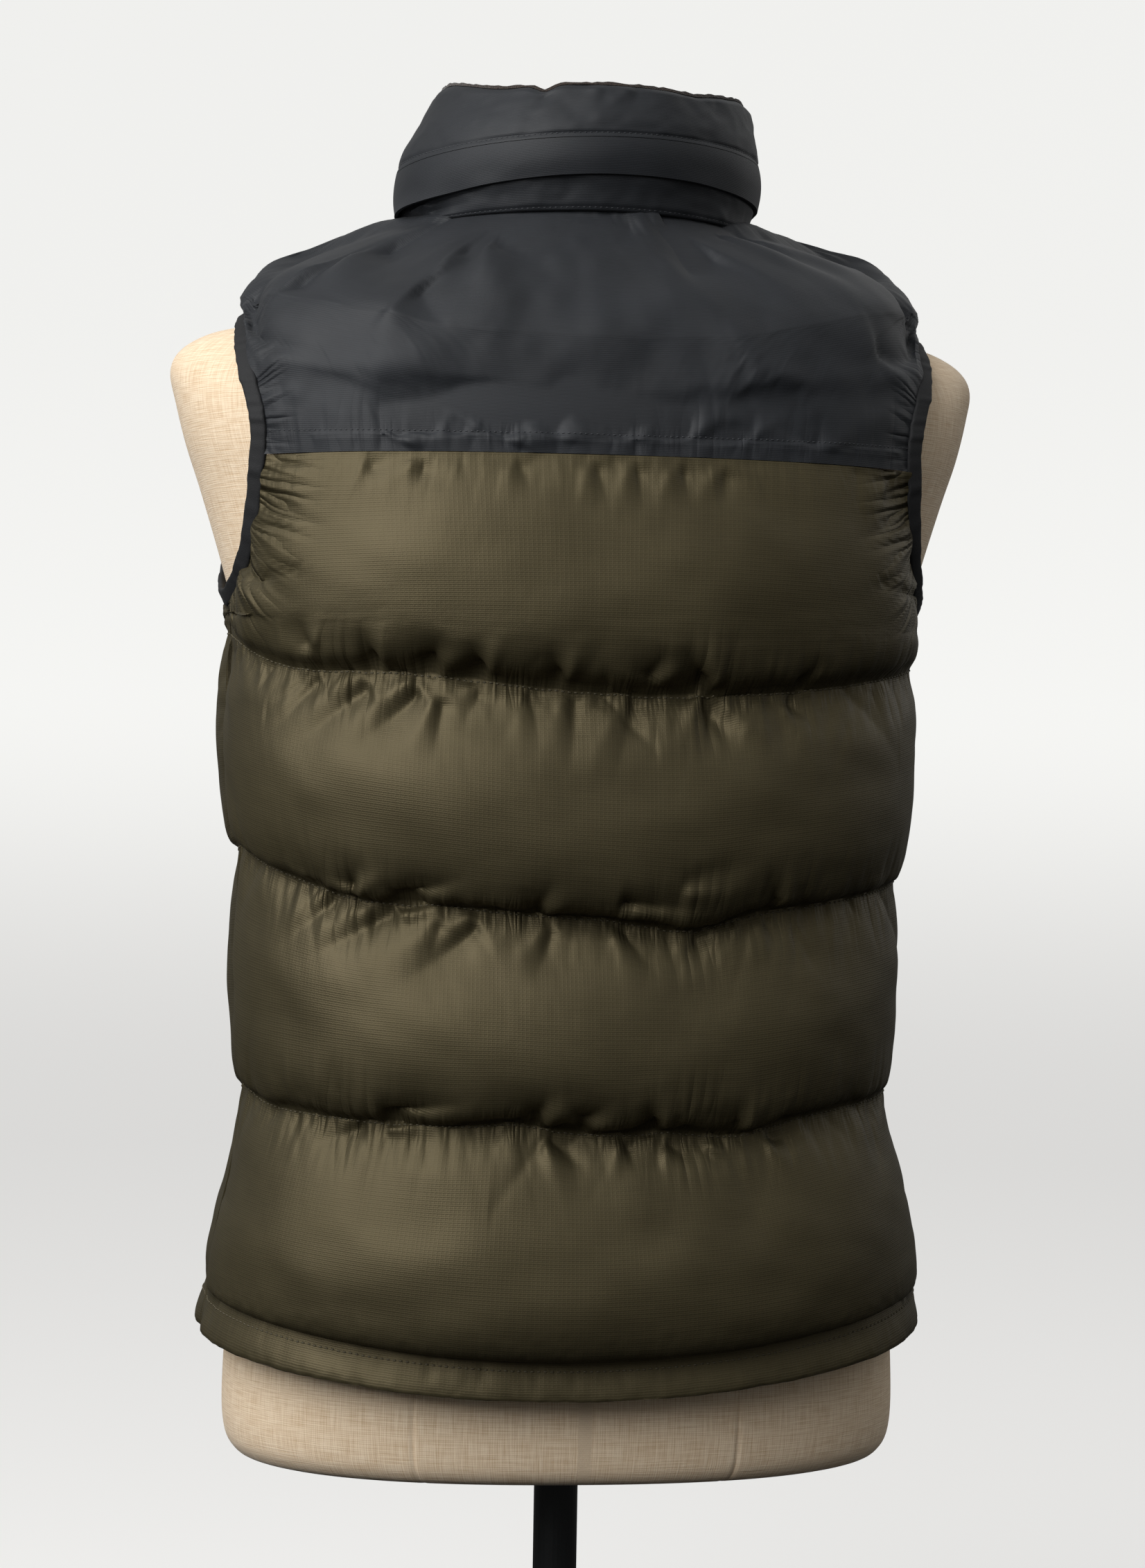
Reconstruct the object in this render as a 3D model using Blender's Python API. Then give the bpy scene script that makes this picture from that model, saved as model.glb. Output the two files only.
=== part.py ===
"""Quilted down vest with a stand collar, closed by a zip, on a limbless dress form and stand.

The vest faces -Y and its wearer's left side is at +X. Everything is in metres, and the
origin is the middle of the base plate's underside. Heights in the tables are measured
from the underside of the form.
"""

import math
from collections import namedtuple

import bmesh
import bpy
import numpy as np

# Stand
BASE_RADIUS = 0.160
BASE_THICKNESS = 0.010
BASE_BEVEL = 0.003
POLE_RADIUS = 0.0125
FORM_HEIGHT = 0.300
CATCH_SIZE = (0.013, 0.020, 0.016)
CATCH_BEVEL = 0.004
ROUND_SEGMENTS = 48
FORM_COLUMNS = 44

# Cloth
GAP = 0.0003
CLOTH_THICKNESS = 0.0025
LINING_THICKNESS = 0.0020
YOKE_LOFT = 0.034
YOKE_BACK_LOFT = 0.020
LINING_SHARE = 0.3
EDGE_ROUNDING = 0.045
COLLAR_PADDING = 0.012
COLLAR_BULGE = 0.004
FLAP_STAND_OFF = 0.0005
FLAP_THICKNESS = 0.0020
BINDING_WIDTH = 0.008
BINDING_THICKNESS = 0.0036
SIDE_SEAM = math.radians(82.0)
SHOULDER_SEAM_AT_NECK = math.radians(105.0)
ARMHOLE_BACK_REACH = math.radians(35.0)
ARMHOLE_FRONT_REACH = math.radians(44.0)

BACK_COLUMNS = 21
FRONT_COLUMNS = 11
COLLAR_COLUMNS = 27

# Zip
ZIP_HALF_WIDTH = 0.0115
CHAIN_HALF_WIDTH = 0.0032
CHAIN_THICKNESS = 0.0024
TAPE_THICKNESS = 0.0012
SLIDER_SIZE = (0.0090, 0.0058, 0.0110)
SLIDER_LEVEL = 2.2
EAR_SIZE = (0.0012, 0.0034, 0.0030)
PIN_RADIUS = 0.0006
EYE_RADIUS = 0.0017
EYE_HOLE_RADIUS = 0.0009
PULL_SIZE = (0.0046, 0.0014, 0.0260)

# One row for each level ring of the form, from its underside up to the neck's flat top
FormRing = namedtuple("FormRing", "height half_width back_y front_y power")
FORM_RINGS = (
    FormRing(0.000, 0.174, 0.098, -0.098, 2.3),
    FormRing(0.004, 0.183, 0.107, -0.107, 2.3),
    FormRing(0.016, 0.189, 0.112, -0.112, 2.3),
    FormRing(0.045, 0.190, 0.114, -0.114, 2.3),
    FormRing(0.110, 0.186, 0.112, -0.113, 2.3),
    FormRing(0.200, 0.176, 0.110, -0.113, 2.3),
    FormRing(0.310, 0.176, 0.109, -0.116, 2.3),
    FormRing(0.400, 0.182, 0.114, -0.122, 2.3),
    FormRing(0.455, 0.187, 0.117, -0.126, 2.3),
    FormRing(0.495, 0.197, 0.119, -0.126, 2.3),
    FormRing(0.538, 0.210, 0.119, -0.122, 2.3),
    FormRing(0.565, 0.219, 0.117, -0.117, 2.3),
    FormRing(0.588, 0.225, 0.112, -0.110, 2.2),
    FormRing(0.606, 0.2285, 0.104, -0.101, 1.95),
    FormRing(0.618, 0.223, 0.098, -0.095, 1.80),
    FormRing(0.627, 0.208, 0.093, -0.090, 1.75),
    FormRing(0.631, 0.189, 0.090, -0.086, 1.75),
    FormRing(0.636, 0.165, 0.087, -0.083, 1.85),
    FormRing(0.643, 0.136, 0.081, -0.078, 1.90),
    FormRing(0.654, 0.107, 0.075, -0.074, 2.0),
    FormRing(0.670, 0.083, 0.068, -0.068, 2.0),
    FormRing(0.688, 0.069, 0.062, -0.064, 2.0),
    FormRing(0.701, 0.063, 0.059, -0.062, 2.0),
    FormRing(0.709, 0.058, 0.054, -0.057, 2.0),
    FormRing(0.713, 0.048, 0.044, -0.047, 2.0),
)

# One row for each ring of the vest's stitched shell, whose height changes round the body
ShellRing = namedtuple("ShellRing", "half_width back_y front_y side_z back_z front_z power")
VEST_RINGS = (
    ShellRing(0.1985, 0.133, -0.135, 0.066, 0.056, 0.056, 2.4),
    ShellRing(0.1975, 0.133, -0.135, 0.090, 0.077, 0.077, 2.4),
    ShellRing(0.1810, 0.127, -0.130, 0.207, 0.196, 0.196, 2.4),
    ShellRing(0.1850, 0.126, -0.134, 0.334, 0.308, 0.310, 2.4),
    ShellRing(0.1930, 0.130, -0.140, 0.455, 0.429, 0.432, 2.4),
    ShellRing(0.1970, 0.133, -0.140, 0.478, 0.478, 0.478, 2.4),
    ShellRing(0.2140, 0.134, -0.134, 0.552, 0.552, 0.552, 2.4),
    ShellRing(0.2170, 0.130, -0.128, 0.603, 0.586, 0.584, 2.4),
    ShellRing(0.1865, 0.121, -0.116, 0.639, 0.617, 0.611, 2.3),
    ShellRing(0.1420, 0.100, -0.102, 0.657, 0.655, 0.638, 2.1),
    ShellRing(0.0915, 0.076, -0.091, 0.693, 0.693, 0.664, 2.0),
)
HEM_EDGE, HEM_STITCH, SEAM_C, SEAM_B, SEAM_A, ARMPIT, YOKE_HEM = range(7)
SHOULDER_EDGE = 8
NECK_SEAM = 10

# One row for each channel of the body: the stitched levels it lies between and how far its
# filling stands out at the sides and in the middle of the back and front
Channel = namedtuple("Channel", "start end side_loft middle_loft")
CHANNELS = (
    Channel(HEM_EDGE, HEM_STITCH, 0.0040, 0.0050),
    Channel(HEM_STITCH, SEAM_C, 0.0040, 0.0220),
    Channel(SEAM_C, SEAM_B, 0.0070, 0.0230),
    Channel(SEAM_B, SEAM_A, 0.0090, 0.0230),
    Channel(SEAM_A, YOKE_HEM, 0.0060, 0.0200),
)

# One row for each ring of the collar's outer face
COLLAR_RINGS = (
    ShellRing(0.0945, 0.081, -0.095, 0.696, 0.696, 0.667, 2.0),
    ShellRing(0.1010, 0.089, -0.101, 0.706, 0.706, 0.680, 2.0),
    ShellRing(0.1010, 0.090, -0.102, 0.729, 0.729, 0.706, 2.0),
    ShellRing(0.0890, 0.080, -0.095, 0.757, 0.757, 0.737, 2.0),
)
COLLAR_BASE, FLAP_EDGE, FLAP_SEAM, COLLAR_TOP = range(4)

# One row for each finish: its colour, roughness and metallic value
Finish = namedtuple("Finish", "colour roughness metallic")
FINISHES = {
    "olive_ripstop": Finish("6A6048", 0.42, 0.0),
    "charcoal_nylon": Finish("2F3237", 0.60, 0.0),
    "pile_lining": Finish("241F1E", 0.95, 0.0),
    "binding_tape": Finish("15161A", 0.75, 0.0),
    "zip_tape": Finish("1D1E21", 0.80, 0.0),
    "zip_metal": Finish("2A2B2D", 0.35, 0.9),
    "linen": Finish("C8B491", 0.90, 0.0),
    "black_steel": Finish("17191A", 0.35, 0.6),
}


def linear_colour(hex_code):
    """Turn an sRGB hex code into linear red, green, blue and an alpha of 1."""
    values = [int(hex_code[i:i + 2], 16) / 255.0 for i in (0, 2, 4)]
    linear = [v / 12.92 if v <= 0.04045 else ((v + 0.055) / 1.055) ** 2.4 for v in values]
    return (*linear, 1.0)


def make_material(name):
    """Make one Principled material from the table of finishes."""
    finish = FINISHES[name]
    material = bpy.data.materials.new(name)
    material.use_nodes = True
    shader = material.node_tree.nodes["Principled BSDF"]
    shader.inputs["Base Color"].default_value = linear_colour(finish.colour)
    shader.inputs["Roughness"].default_value = finish.roughness
    shader.inputs["Metallic"].default_value = finish.metallic
    return material


def add_object(name, vertices, faces, material, smooth=True):
    """Add one closed mesh object, with its faces turned outwards."""
    mesh = bpy.data.meshes.new(name)
    mesh.from_pydata([tuple(v) for v in vertices], [], faces)
    shell = bmesh.new()
    shell.from_mesh(mesh)
    bmesh.ops.recalc_face_normals(shell, faces=shell.faces)
    shell.to_mesh(mesh)
    shell.free()
    if smooth:
        mesh.shade_smooth()
        mesh.set_sharp_from_angle(angle=math.radians(50.0))
    mesh.materials.append(material)
    obj = bpy.data.objects.new(name, mesh)
    bpy.context.collection.objects.link(obj)
    return obj


def grid_faces(rows, columns, first=0, closed=False):
    """List the quads of a grid whose vertices are stored row by row."""
    faces = []
    spans = columns if closed else columns - 1
    for r in range(rows - 1):
        for c in range(spans):
            right = (c + 1) % columns
            here = first + r * columns
            above = here + columns
            faces.append((here + c, here + right, above + right, above + c))
    return faces


def add_wall(name, outer, inner, material):
    """Close an outer and an inner grid of points into one wall with four rims.

    Each rim is split along the same diagonals on both sides of a seam, so neighbours fit.
    """
    rows, columns, _ = outer.shape
    count = rows * columns
    faces = grid_faces(rows, columns)
    faces += [face[::-1] for face in grid_faces(rows, columns, count)]
    rim = [c for c in range(columns)]
    rim += [r * columns + columns - 1 for r in range(1, rows)]
    rim += [(rows - 1) * columns + c for c in range(columns - 2, -1, -1)]
    rim += [r * columns for r in range(rows - 2, 0, -1)]
    for here, there in zip(rim, rim[1:] + rim[:1]):
        low, high = sorted((here, there))
        faces.append((low, high, high + count))
        faces.append((low, high + count, low + count))
    vertices = np.concatenate([outer.reshape(-1, 3), inner.reshape(-1, 3)])
    return add_object(name, vertices, faces, material)


def add_tube(name, rings, material, closed):
    """Join rings of points into a tube that closes on itself or ends in flat caps."""
    rows, columns, _ = rings.shape
    faces = grid_faces(rows, columns, closed=True)
    if closed:
        last = (rows - 1) * columns
        faces += [(last + c, last + (c + 1) % columns, (c + 1) % columns, c) for c in range(columns)]
    else:
        faces.append(tuple(range(columns - 1, -1, -1)))
        faces.append(tuple((rows - 1) * columns + c for c in range(columns)))
    return add_object(name, rings.reshape(-1, 3), faces, material)


def table_values(table, level):
    """Read a table between its rows with a Catmull-Rom curve; row numbers are the levels."""
    rows = np.array(table)
    level = np.asarray(level, dtype=float)
    low = np.clip(np.floor(level).astype(int), 0, len(rows) - 2)
    t = (level - low)[..., None]
    before, start = rows[np.maximum(low - 1, 0)], rows[low]
    end, after = rows[low + 1], rows[np.minimum(low + 2, len(rows) - 1)]
    slope_in, slope_out = (end - before) / 2, (after - start) / 2
    return ((2 * t**3 - 3 * t**2 + 1) * start + (t**3 - 2 * t**2 + t) * slope_in
            + (3 * t**2 - 2 * t**3) * end + (t**3 - t**2) * slope_out)


def shell_points(rings, level, angle):
    """Place points on a shell: angle 0 is the middle of the back, a right angle is +X.

    Each ring is a superellipse whose height runs from side_z at the sides to back_z and
    front_z in the middle, in proportion to the squared cosine of the angle.
    """
    values = np.moveaxis(table_values(rings, level), -1, 0)
    half_width, back_y, front_y, side_z, back_z, front_z, power = values
    sine, cosine = np.sin(angle), np.cos(angle)
    radius = (np.abs(sine) ** power + np.abs(cosine) ** power) ** (-1.0 / power)
    at_back = cosine > 0
    depth = np.where(at_back, back_y, -front_y)
    middle_z = np.where(at_back, back_z, front_z)
    height = FORM_HEIGHT + side_z + (middle_z - side_z) * cosine**2
    return np.stack([half_width * radius * sine, depth * radius * cosine, height], axis=-1)


def shell_normals(rings, level, angle):
    """Find the outward unit normals of a shell from small steps along and round it."""
    step = 1e-4
    top = len(rings) - 1
    above = shell_points(rings, np.minimum(level + step, top), angle)
    below = shell_points(rings, np.maximum(level - step, 0), angle)
    ahead = shell_points(rings, level, angle + step)
    behind = shell_points(rings, level, angle - step)
    normal = np.cross(above - below, ahead - behind)
    return normal / np.linalg.norm(normal, axis=-1, keepdims=True)


def trim_edges(grid):
    """Draw the four edges of a grid in by half the gap between neighbouring pieces."""
    trimmed = grid.copy()
    for axis in (0, 1):
        for edge, inside in ((0, 1), (-1, -2)):
            border = np.take(trimmed, edge, axis)
            inward = np.take(trimmed, inside, axis) - border
            inward *= GAP / 2 / np.linalg.norm(inward, axis=-1, keepdims=True)
            index = [slice(None), slice(None)]
            index[axis] = edge
            trimmed[tuple(index)] = border + inward
    return trimmed


def armhole_edge(level, reach):
    """Give the angle of the armhole's edge, an oval from the armpit to the shoulder edge."""
    middle = (ARMPIT + SHOULDER_EDGE) / 2
    half = (SHOULDER_EDGE - ARMPIT) / 2
    along = np.clip((level - middle) / half, -1.0, 1.0)
    centre = SIDE_SEAM + (math.pi / 2 - SIDE_SEAM) * (along + 1) / 2
    return centre + reach * np.sqrt(1 - along**2)


def seam_edge(level, reach):
    """Give the angle where a panel ends: side seam, then armhole, then shoulder seam."""
    shoulder = np.clip((level - SHOULDER_EDGE) / (NECK_SEAM - SHOULDER_EDGE), 0.0, 1.0)
    shoulder_seam = math.pi / 2 + (SHOULDER_SEAM_AT_NECK - math.pi / 2) * shoulder
    edge = np.where(level <= ARMPIT, SIDE_SEAM, armhole_edge(level, reach))
    return np.where(level >= SHOULDER_EDGE, shoulder_seam, edge)


def zip_edge(rings, level):
    """Give the angle at which a front panel reaches the zip tape."""
    half_width = table_values(rings, level)[..., 0]
    return math.pi - np.arcsin(ZIP_HALF_WIDTH / half_width)


def oval_levels(start, end, count):
    """Space levels evenly along the armhole's oval, so its ends get more rows."""
    middle = (ARMPIT + SHOULDER_EDGE) / 2
    half = (SHOULDER_EDGE - ARMPIT) / 2
    turn = [math.acos(np.clip(-(level - middle) / half, -1.0, 1.0)) for level in (start, end)]
    return middle - half * np.cos(np.linspace(*turn, count))


def channel_levels(start, end, count):
    """Space levels closer together at the two stitched ends of a channel."""
    return start + (end - start) * (1 - np.cos(np.linspace(0, math.pi, count))) / 2


BODY_LEVELS = np.concatenate([
    channel_levels(HEM_EDGE, HEM_STITCH, 3),
    channel_levels(HEM_STITCH, SEAM_C, 6)[1:],
    channel_levels(SEAM_C, SEAM_B, 6)[1:],
    channel_levels(SEAM_B, SEAM_A, 6)[1:],
    channel_levels(SEAM_A, ARMPIT, 4)[1:],
    oval_levels(ARMPIT, YOKE_HEM, 6)[1:],
])
YOKE_LEVELS = np.concatenate([
    oval_levels(YOKE_HEM, SHOULDER_EDGE, 7),
    channel_levels(SHOULDER_EDGE, NECK_SEAM, 5)[1:],
])
COLLAR_LEVELS = np.concatenate([
    np.linspace(COLLAR_BASE, FLAP_SEAM, 5),
    np.linspace(FLAP_SEAM, COLLAR_TOP, 6)[1:],
])


def roll(fraction):
    """Rise from 0 at a stitched edge to 1 in the middle of a filled channel and back."""
    return np.maximum(1 - np.abs(2 * fraction - 1) ** 2.4, 0.0) ** 0.6


def channel_loft(level, angle):
    """Give the filling's depth in the body's channels, which are shallower at the sides."""
    table = np.array(CHANNELS)
    index = np.clip(np.searchsorted(table[:, 1], level, side="left"), 0, len(table) - 1)
    start, end, side_loft, middle_loft = np.moveaxis(table[index], -1, 0)
    depth = side_loft + (middle_loft - side_loft) * np.abs(np.cos(angle)) ** 1.2
    return depth * roll((level - start) / (end - start))


def yoke_loft(level, angle):
    """Give the filling's depth in the yoke, deepest on top of the shoulders."""
    height = (level - YOKE_HEM) / (NECK_SEAM - YOKE_HEM)
    depth = YOKE_BACK_LOFT + (YOKE_LOFT - YOKE_BACK_LOFT) * np.sin(angle) ** 2
    return depth * roll(height) * np.clip(0.4 + 1.2 * height, 0.0, 1.0)


def armhole_oval(turn, scale=1.0):
    """Give the levels and angles of the left armhole's edge, drawn smaller by a scale."""
    along = -np.cos(turn) * scale
    level = (ARMPIT + SHOULDER_EDGE) / 2 + (SHOULDER_EDGE - ARMPIT) / 2 * along
    centre = SIDE_SEAM + (math.pi / 2 - SIDE_SEAM) * (along + 1) / 2
    reach = np.where(np.sin(turn) > 0, ARMHOLE_FRONT_REACH, ARMHOLE_BACK_REACH)
    return level, centre + reach * np.sin(turn) * scale


def edge_taper(points):
    """Round the filling off over a short way towards the nearest point of an armhole's edge."""
    turn = np.linspace(0.0, 2 * math.pi, 120, endpoint=False)
    edge = shell_points(VEST_RINGS, *armhole_oval(turn))
    one_side = np.stack([np.abs(points[..., 0]), points[..., 1], points[..., 2]], axis=-1)
    distance = np.linalg.norm(one_side[..., None, :] - edge, axis=-1).min(axis=-1)
    return roll(np.clip(distance / EDGE_ROUNDING, 0.0, 1.0) / 2)


def add_panel(name, levels, edges, loft, columns, material):
    """Make one quilted panel between two edge angles, each given for every level."""
    across = np.linspace(0.0, 1.0, columns)[None, :]
    first, last = edges[0][:, None], edges[1][:, None]
    angle = first + (last - first) * across
    level = np.repeat(levels[:, None], columns, axis=1)
    middle = shell_points(VEST_RINGS, level, angle)
    normal = shell_normals(VEST_RINGS, level, angle)
    filling = (loft(level, angle) * edge_taper(middle))[..., None]
    outer = middle + normal * (CLOTH_THICKNESS / 2 + filling)
    inward = CLOTH_THICKNESS / 2 + LINING_SHARE * filling * np.cos(angle)[..., None] ** 2
    inner = middle - normal * inward
    return add_wall(name, trim_edges(outer), trim_edges(inner), material)


def add_vest_panels(materials):
    """Make the back and the two fronts, each with a body and a yoke."""
    parts = (("body", BODY_LEVELS, channel_loft, "olive_ripstop"),
             ("yoke", YOKE_LEVELS, yoke_loft, "charcoal_nylon"))
    for part, levels, loft, finish in parts:
        back_edge = seam_edge(levels, -ARMHOLE_BACK_REACH)
        front_edge = seam_edge(levels, ARMHOLE_FRONT_REACH)
        closing = zip_edge(VEST_RINGS, levels)
        cloth = materials[finish]
        add_panel(f"back_{part}", levels, (-back_edge, back_edge), loft, BACK_COLUMNS, cloth)
        add_panel(f"front_{part}_left", levels, (front_edge, closing), loft, FRONT_COLUMNS, cloth)
        add_panel(f"front_{part}_right", levels, (-closing, -front_edge), loft, FRONT_COLUMNS, cloth)


def add_binding(name, side, material):
    """Bind one armhole with a tape that reaches from the panels' edges into the opening."""
    middle = (ARMPIT + SHOULDER_EDGE) / 2
    half = (SHOULDER_EDGE - ARMPIT) / 2
    armhole_rows = np.union1d(BODY_LEVELS, YOKE_LEVELS)
    armhole_rows = armhole_rows[(armhole_rows >= ARMPIT) & (armhole_rows <= SHOULDER_EDGE)]
    rise = np.arccos(np.clip((middle - armhole_rows) / half, -1.0, 1.0))
    turn = np.concatenate([rise, 2 * math.pi - rise[-2:0:-1]])
    level, angle = armhole_oval(turn)
    edge = shell_points(VEST_RINGS, level, angle)
    inward = shell_points(VEST_RINGS, *armhole_oval(turn, 0.9)) - edge
    inward /= np.linalg.norm(inward, axis=-1, keepdims=True)
    normal = shell_normals(VEST_RINGS, level, angle)
    corners = ((GAP, -1), (BINDING_WIDTH, -1), (BINDING_WIDTH, 1), (GAP, 1))
    rings = np.stack([edge + inward * width + normal * up * BINDING_THICKNESS / 2
                      for width, up in corners], axis=1)
    rings[..., 0] *= side
    return add_tube(name, rings, material, closed=True)


def add_collar_band(name, start, end, outer_depth, inner_depth, material):
    """Make one open ring of the collar, from one side of the zip round to the other.

    The two depths are functions of the level, and give how far the band's faces stand
    out from the collar's outer face.
    """
    levels = COLLAR_LEVELS[(COLLAR_LEVELS >= start) & (COLLAR_LEVELS <= end)]
    closing = zip_edge(COLLAR_RINGS, levels)[:, None]
    across = np.linspace(-1.0, 1.0, COLLAR_COLUMNS)[None, :]
    angle = closing * across
    level = np.repeat(levels[:, None], across.size, axis=1)
    face = shell_points(COLLAR_RINGS, level, angle)
    normal = shell_normals(COLLAR_RINGS, level, angle)
    normal[..., 2] = 0.0
    normal /= np.linalg.norm(normal, axis=-1, keepdims=True)
    outer = face + normal * outer_depth(levels)[:, None, None]
    inner = face + normal * inner_depth(levels)[:, None, None]
    return add_wall(name, trim_edges(outer), trim_edges(inner), material)


def add_collar(materials):
    """Make the collar's lower band, the flap over it, the upper panel and the lining."""
    shell = materials["charcoal_nylon"]
    under_flap = FLAP_THICKNESS + FLAP_STAND_OFF

    def flat(depth):
        return lambda levels: np.full_like(levels, depth)

    def lower_face(levels):
        return -under_flap * np.clip(levels / FLAP_EDGE, 0.0, 1.0)

    def upper_face(levels):
        fraction = (levels - FLAP_SEAM) / (COLLAR_TOP - FLAP_SEAM)
        return COLLAR_BULGE * roll(fraction)

    add_collar_band("collar_lower_band", COLLAR_BASE, FLAP_SEAM, lower_face,
                    flat(-COLLAR_PADDING), shell)
    add_collar_band("collar_flap", FLAP_EDGE, FLAP_SEAM, flat(0.0), flat(-FLAP_THICKNESS), shell)
    add_collar_band("collar_upper_panel", FLAP_SEAM, COLLAR_TOP, upper_face,
                    flat(-COLLAR_PADDING), shell)
    add_collar_band("collar_lining", COLLAR_BASE, COLLAR_TOP, flat(-COLLAR_PADDING - GAP),
                    flat(-COLLAR_PADDING - GAP - LINING_THICKNESS), materials["pile_lining"])


def zip_path(top_level):
    """Follow the middle of the front from the hem to a level of the collar."""
    body = np.linspace(HEM_EDGE, NECK_SEAM, 21)
    collar = np.linspace(0.5, top_level, 4)
    return np.concatenate([shell_points(VEST_RINGS, body, np.full_like(body, math.pi)),
                           shell_points(COLLAR_RINGS, collar, np.full_like(collar, math.pi))])


def add_strip(name, path, width, depth, material):
    """Carry a rectangle, given by its x limits and its depths, along the front's path."""
    along = np.gradient(path, axis=0)
    along /= np.linalg.norm(along, axis=1, keepdims=True)
    outward = np.stack([np.zeros(len(path)), -along[:, 2], along[:, 1]], axis=1)
    side = np.array([1.0, 0.0, 0.0])
    corners = ((width[0], depth[0]), (width[1], depth[0]), (width[1], depth[1]), (width[0], depth[1]))
    rings = np.stack([path * (0, 1, 1) + side * x + outward * out for x, out in corners], axis=1)
    return add_tube(name, rings, material, closed=False)


def add_zip(materials):
    """Make the two tapes, the closed chain, the slider and its hinged pull tab."""
    tape = materials["zip_tape"]
    tape_path = zip_path(COLLAR_TOP - 0.05)
    chain_path = zip_path(SLIDER_LEVEL)
    inner, outer = CHAIN_HALF_WIDTH + GAP, ZIP_HALF_WIDTH - GAP / 2
    half_tape = TAPE_THICKNESS / 2
    add_strip("zip_tape_left", tape_path, (inner, outer), (-half_tape, half_tape), tape)
    add_strip("zip_tape_right", tape_path, (-outer, -inner), (-half_tape, half_tape), tape)
    add_strip("zip_chain", chain_path, (-CHAIN_HALF_WIDTH, CHAIN_HALF_WIDTH),
              (-CHAIN_THICKNESS / 2, CHAIN_THICKNESS / 2), tape)
    end = chain_path[-1]
    add_slider(end, materials["zip_metal"])


def box(name, centre, size, bevel=0.0, material=None):
    """Add a box, with its edges rounded where a bevel is given."""
    bpy.ops.mesh.primitive_cube_add(size=1.0, location=centre)
    obj = bpy.context.object
    obj.name = obj.data.name = name
    for vertex in obj.data.vertices:
        vertex.co = [c * s for c, s in zip(vertex.co, size)]
    if bevel:
        rounding = obj.modifiers.new("rounding", "BEVEL")
        rounding.width = bevel
        rounding.segments = 3
    if material:
        obj.data.materials.append(material)
    return obj


def cylinder(name, centre, radius, length, rotation=(0.0, 0.0, 0.0), segments=ROUND_SEGMENTS):
    """Add a cylinder about its own centre."""
    bpy.ops.mesh.primitive_cylinder_add(radius=radius, depth=length, location=centre,
                                        rotation=rotation, vertices=segments)
    obj = bpy.context.object
    obj.name = obj.data.name = name
    obj.data.shade_smooth()
    obj.data.set_sharp_from_angle(angle=math.radians(40.0))
    return obj


def combine(target, others, operation):
    """Join helper shapes to an object, or cut them from it, and hide the helpers."""
    for other in others:
        cut = target.modifiers.new(other.name, "BOOLEAN")
        cut.operation = operation
        cut.object = other
        other.hide_render = True
        other.display_type = "WIRE"


def add_slider(chain_end, metal):
    """Make the slider over the chain's upper end, and the pull tab that hangs from it."""
    across = (0.0, math.pi / 2, 0.0)
    width, depth, height = SLIDER_SIZE
    stand_off = TAPE_THICKNESS / 2 + 2 * GAP
    centre = (0.0, chain_end[1] - stand_off - depth / 2, chain_end[2] + GAP + height / 2)
    slider = box("zip_slider", centre, SLIDER_SIZE, 0.0012, metal)
    face_y = centre[1] - depth / 2
    pin_y = face_y - EYE_RADIUS - GAP
    pin_z = centre[2] + height / 4
    ear_offset = PULL_SIZE[0] / 2 + GAP + EAR_SIZE[0] / 2
    ear_depth = face_y - pin_y + EAR_SIZE[1] / 2
    ears = [box(f"ear_{side}", (sign * ear_offset, face_y - ear_depth / 2 + GAP, pin_z),
                (EAR_SIZE[0], ear_depth + 2 * GAP, EAR_SIZE[2]))
            for side, sign in (("left", 1), ("right", -1))]
    pin = cylinder("slider_pin", (0.0, pin_y, pin_z), PIN_RADIUS, 2 * ear_offset, across, 16)
    combine(slider, ears + [pin], "UNION")
    add_pull((0.0, pin_y, pin_z), metal)


def add_pull(pin, metal):
    """Make the pull tab: an eye round the slider's pin and a flat tongue that hangs down."""
    across = (0.0, math.pi / 2, 0.0)
    hinge = bpy.data.objects.new("pull_hinge", None)
    hinge.location = pin
    bpy.context.collection.objects.link(hinge)
    width, thickness, length = PULL_SIZE
    eye = cylinder("zip_pull", (0.0, 0.0, 0.0), EYE_RADIUS, width, across, 24)
    tongue = box("tongue", (0.0, 0.0, -length / 2 - EYE_HOLE_RADIUS), (width, thickness, length), 0.0003)
    hole = cylinder("eye_hole", (0.0, 0.0, 0.0), EYE_HOLE_RADIUS, 2 * width, across, 24)
    combine(eye, [tongue], "UNION")
    combine(eye, [hole], "DIFFERENCE")
    eye.data.materials.append(metal)
    for obj in (eye, tongue, hole):
        obj.parent = hinge


def add_form(material):
    """Make the solid torso from its level rings, flat underneath and at the neck."""
    levels = np.arange(len(FORM_RINGS), dtype=float)
    height, half_width, back_y, front_y, power = table_values(FORM_RINGS, levels).T[..., None]
    angle = np.linspace(0.0, 2 * math.pi, FORM_COLUMNS, endpoint=False)[None, :]
    sine, cosine = np.sin(angle), np.cos(angle)
    radius = (np.abs(sine) ** power + np.abs(cosine) ** power) ** (-1.0 / power)
    depth = np.where(cosine > 0, back_y, -front_y)
    rings = np.stack([half_width * radius * sine, depth * radius * cosine,
                      FORM_HEIGHT + np.repeat(height, angle.size, axis=1)], axis=-1)
    return add_tube("form_torso", rings, material, closed=False)


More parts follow.
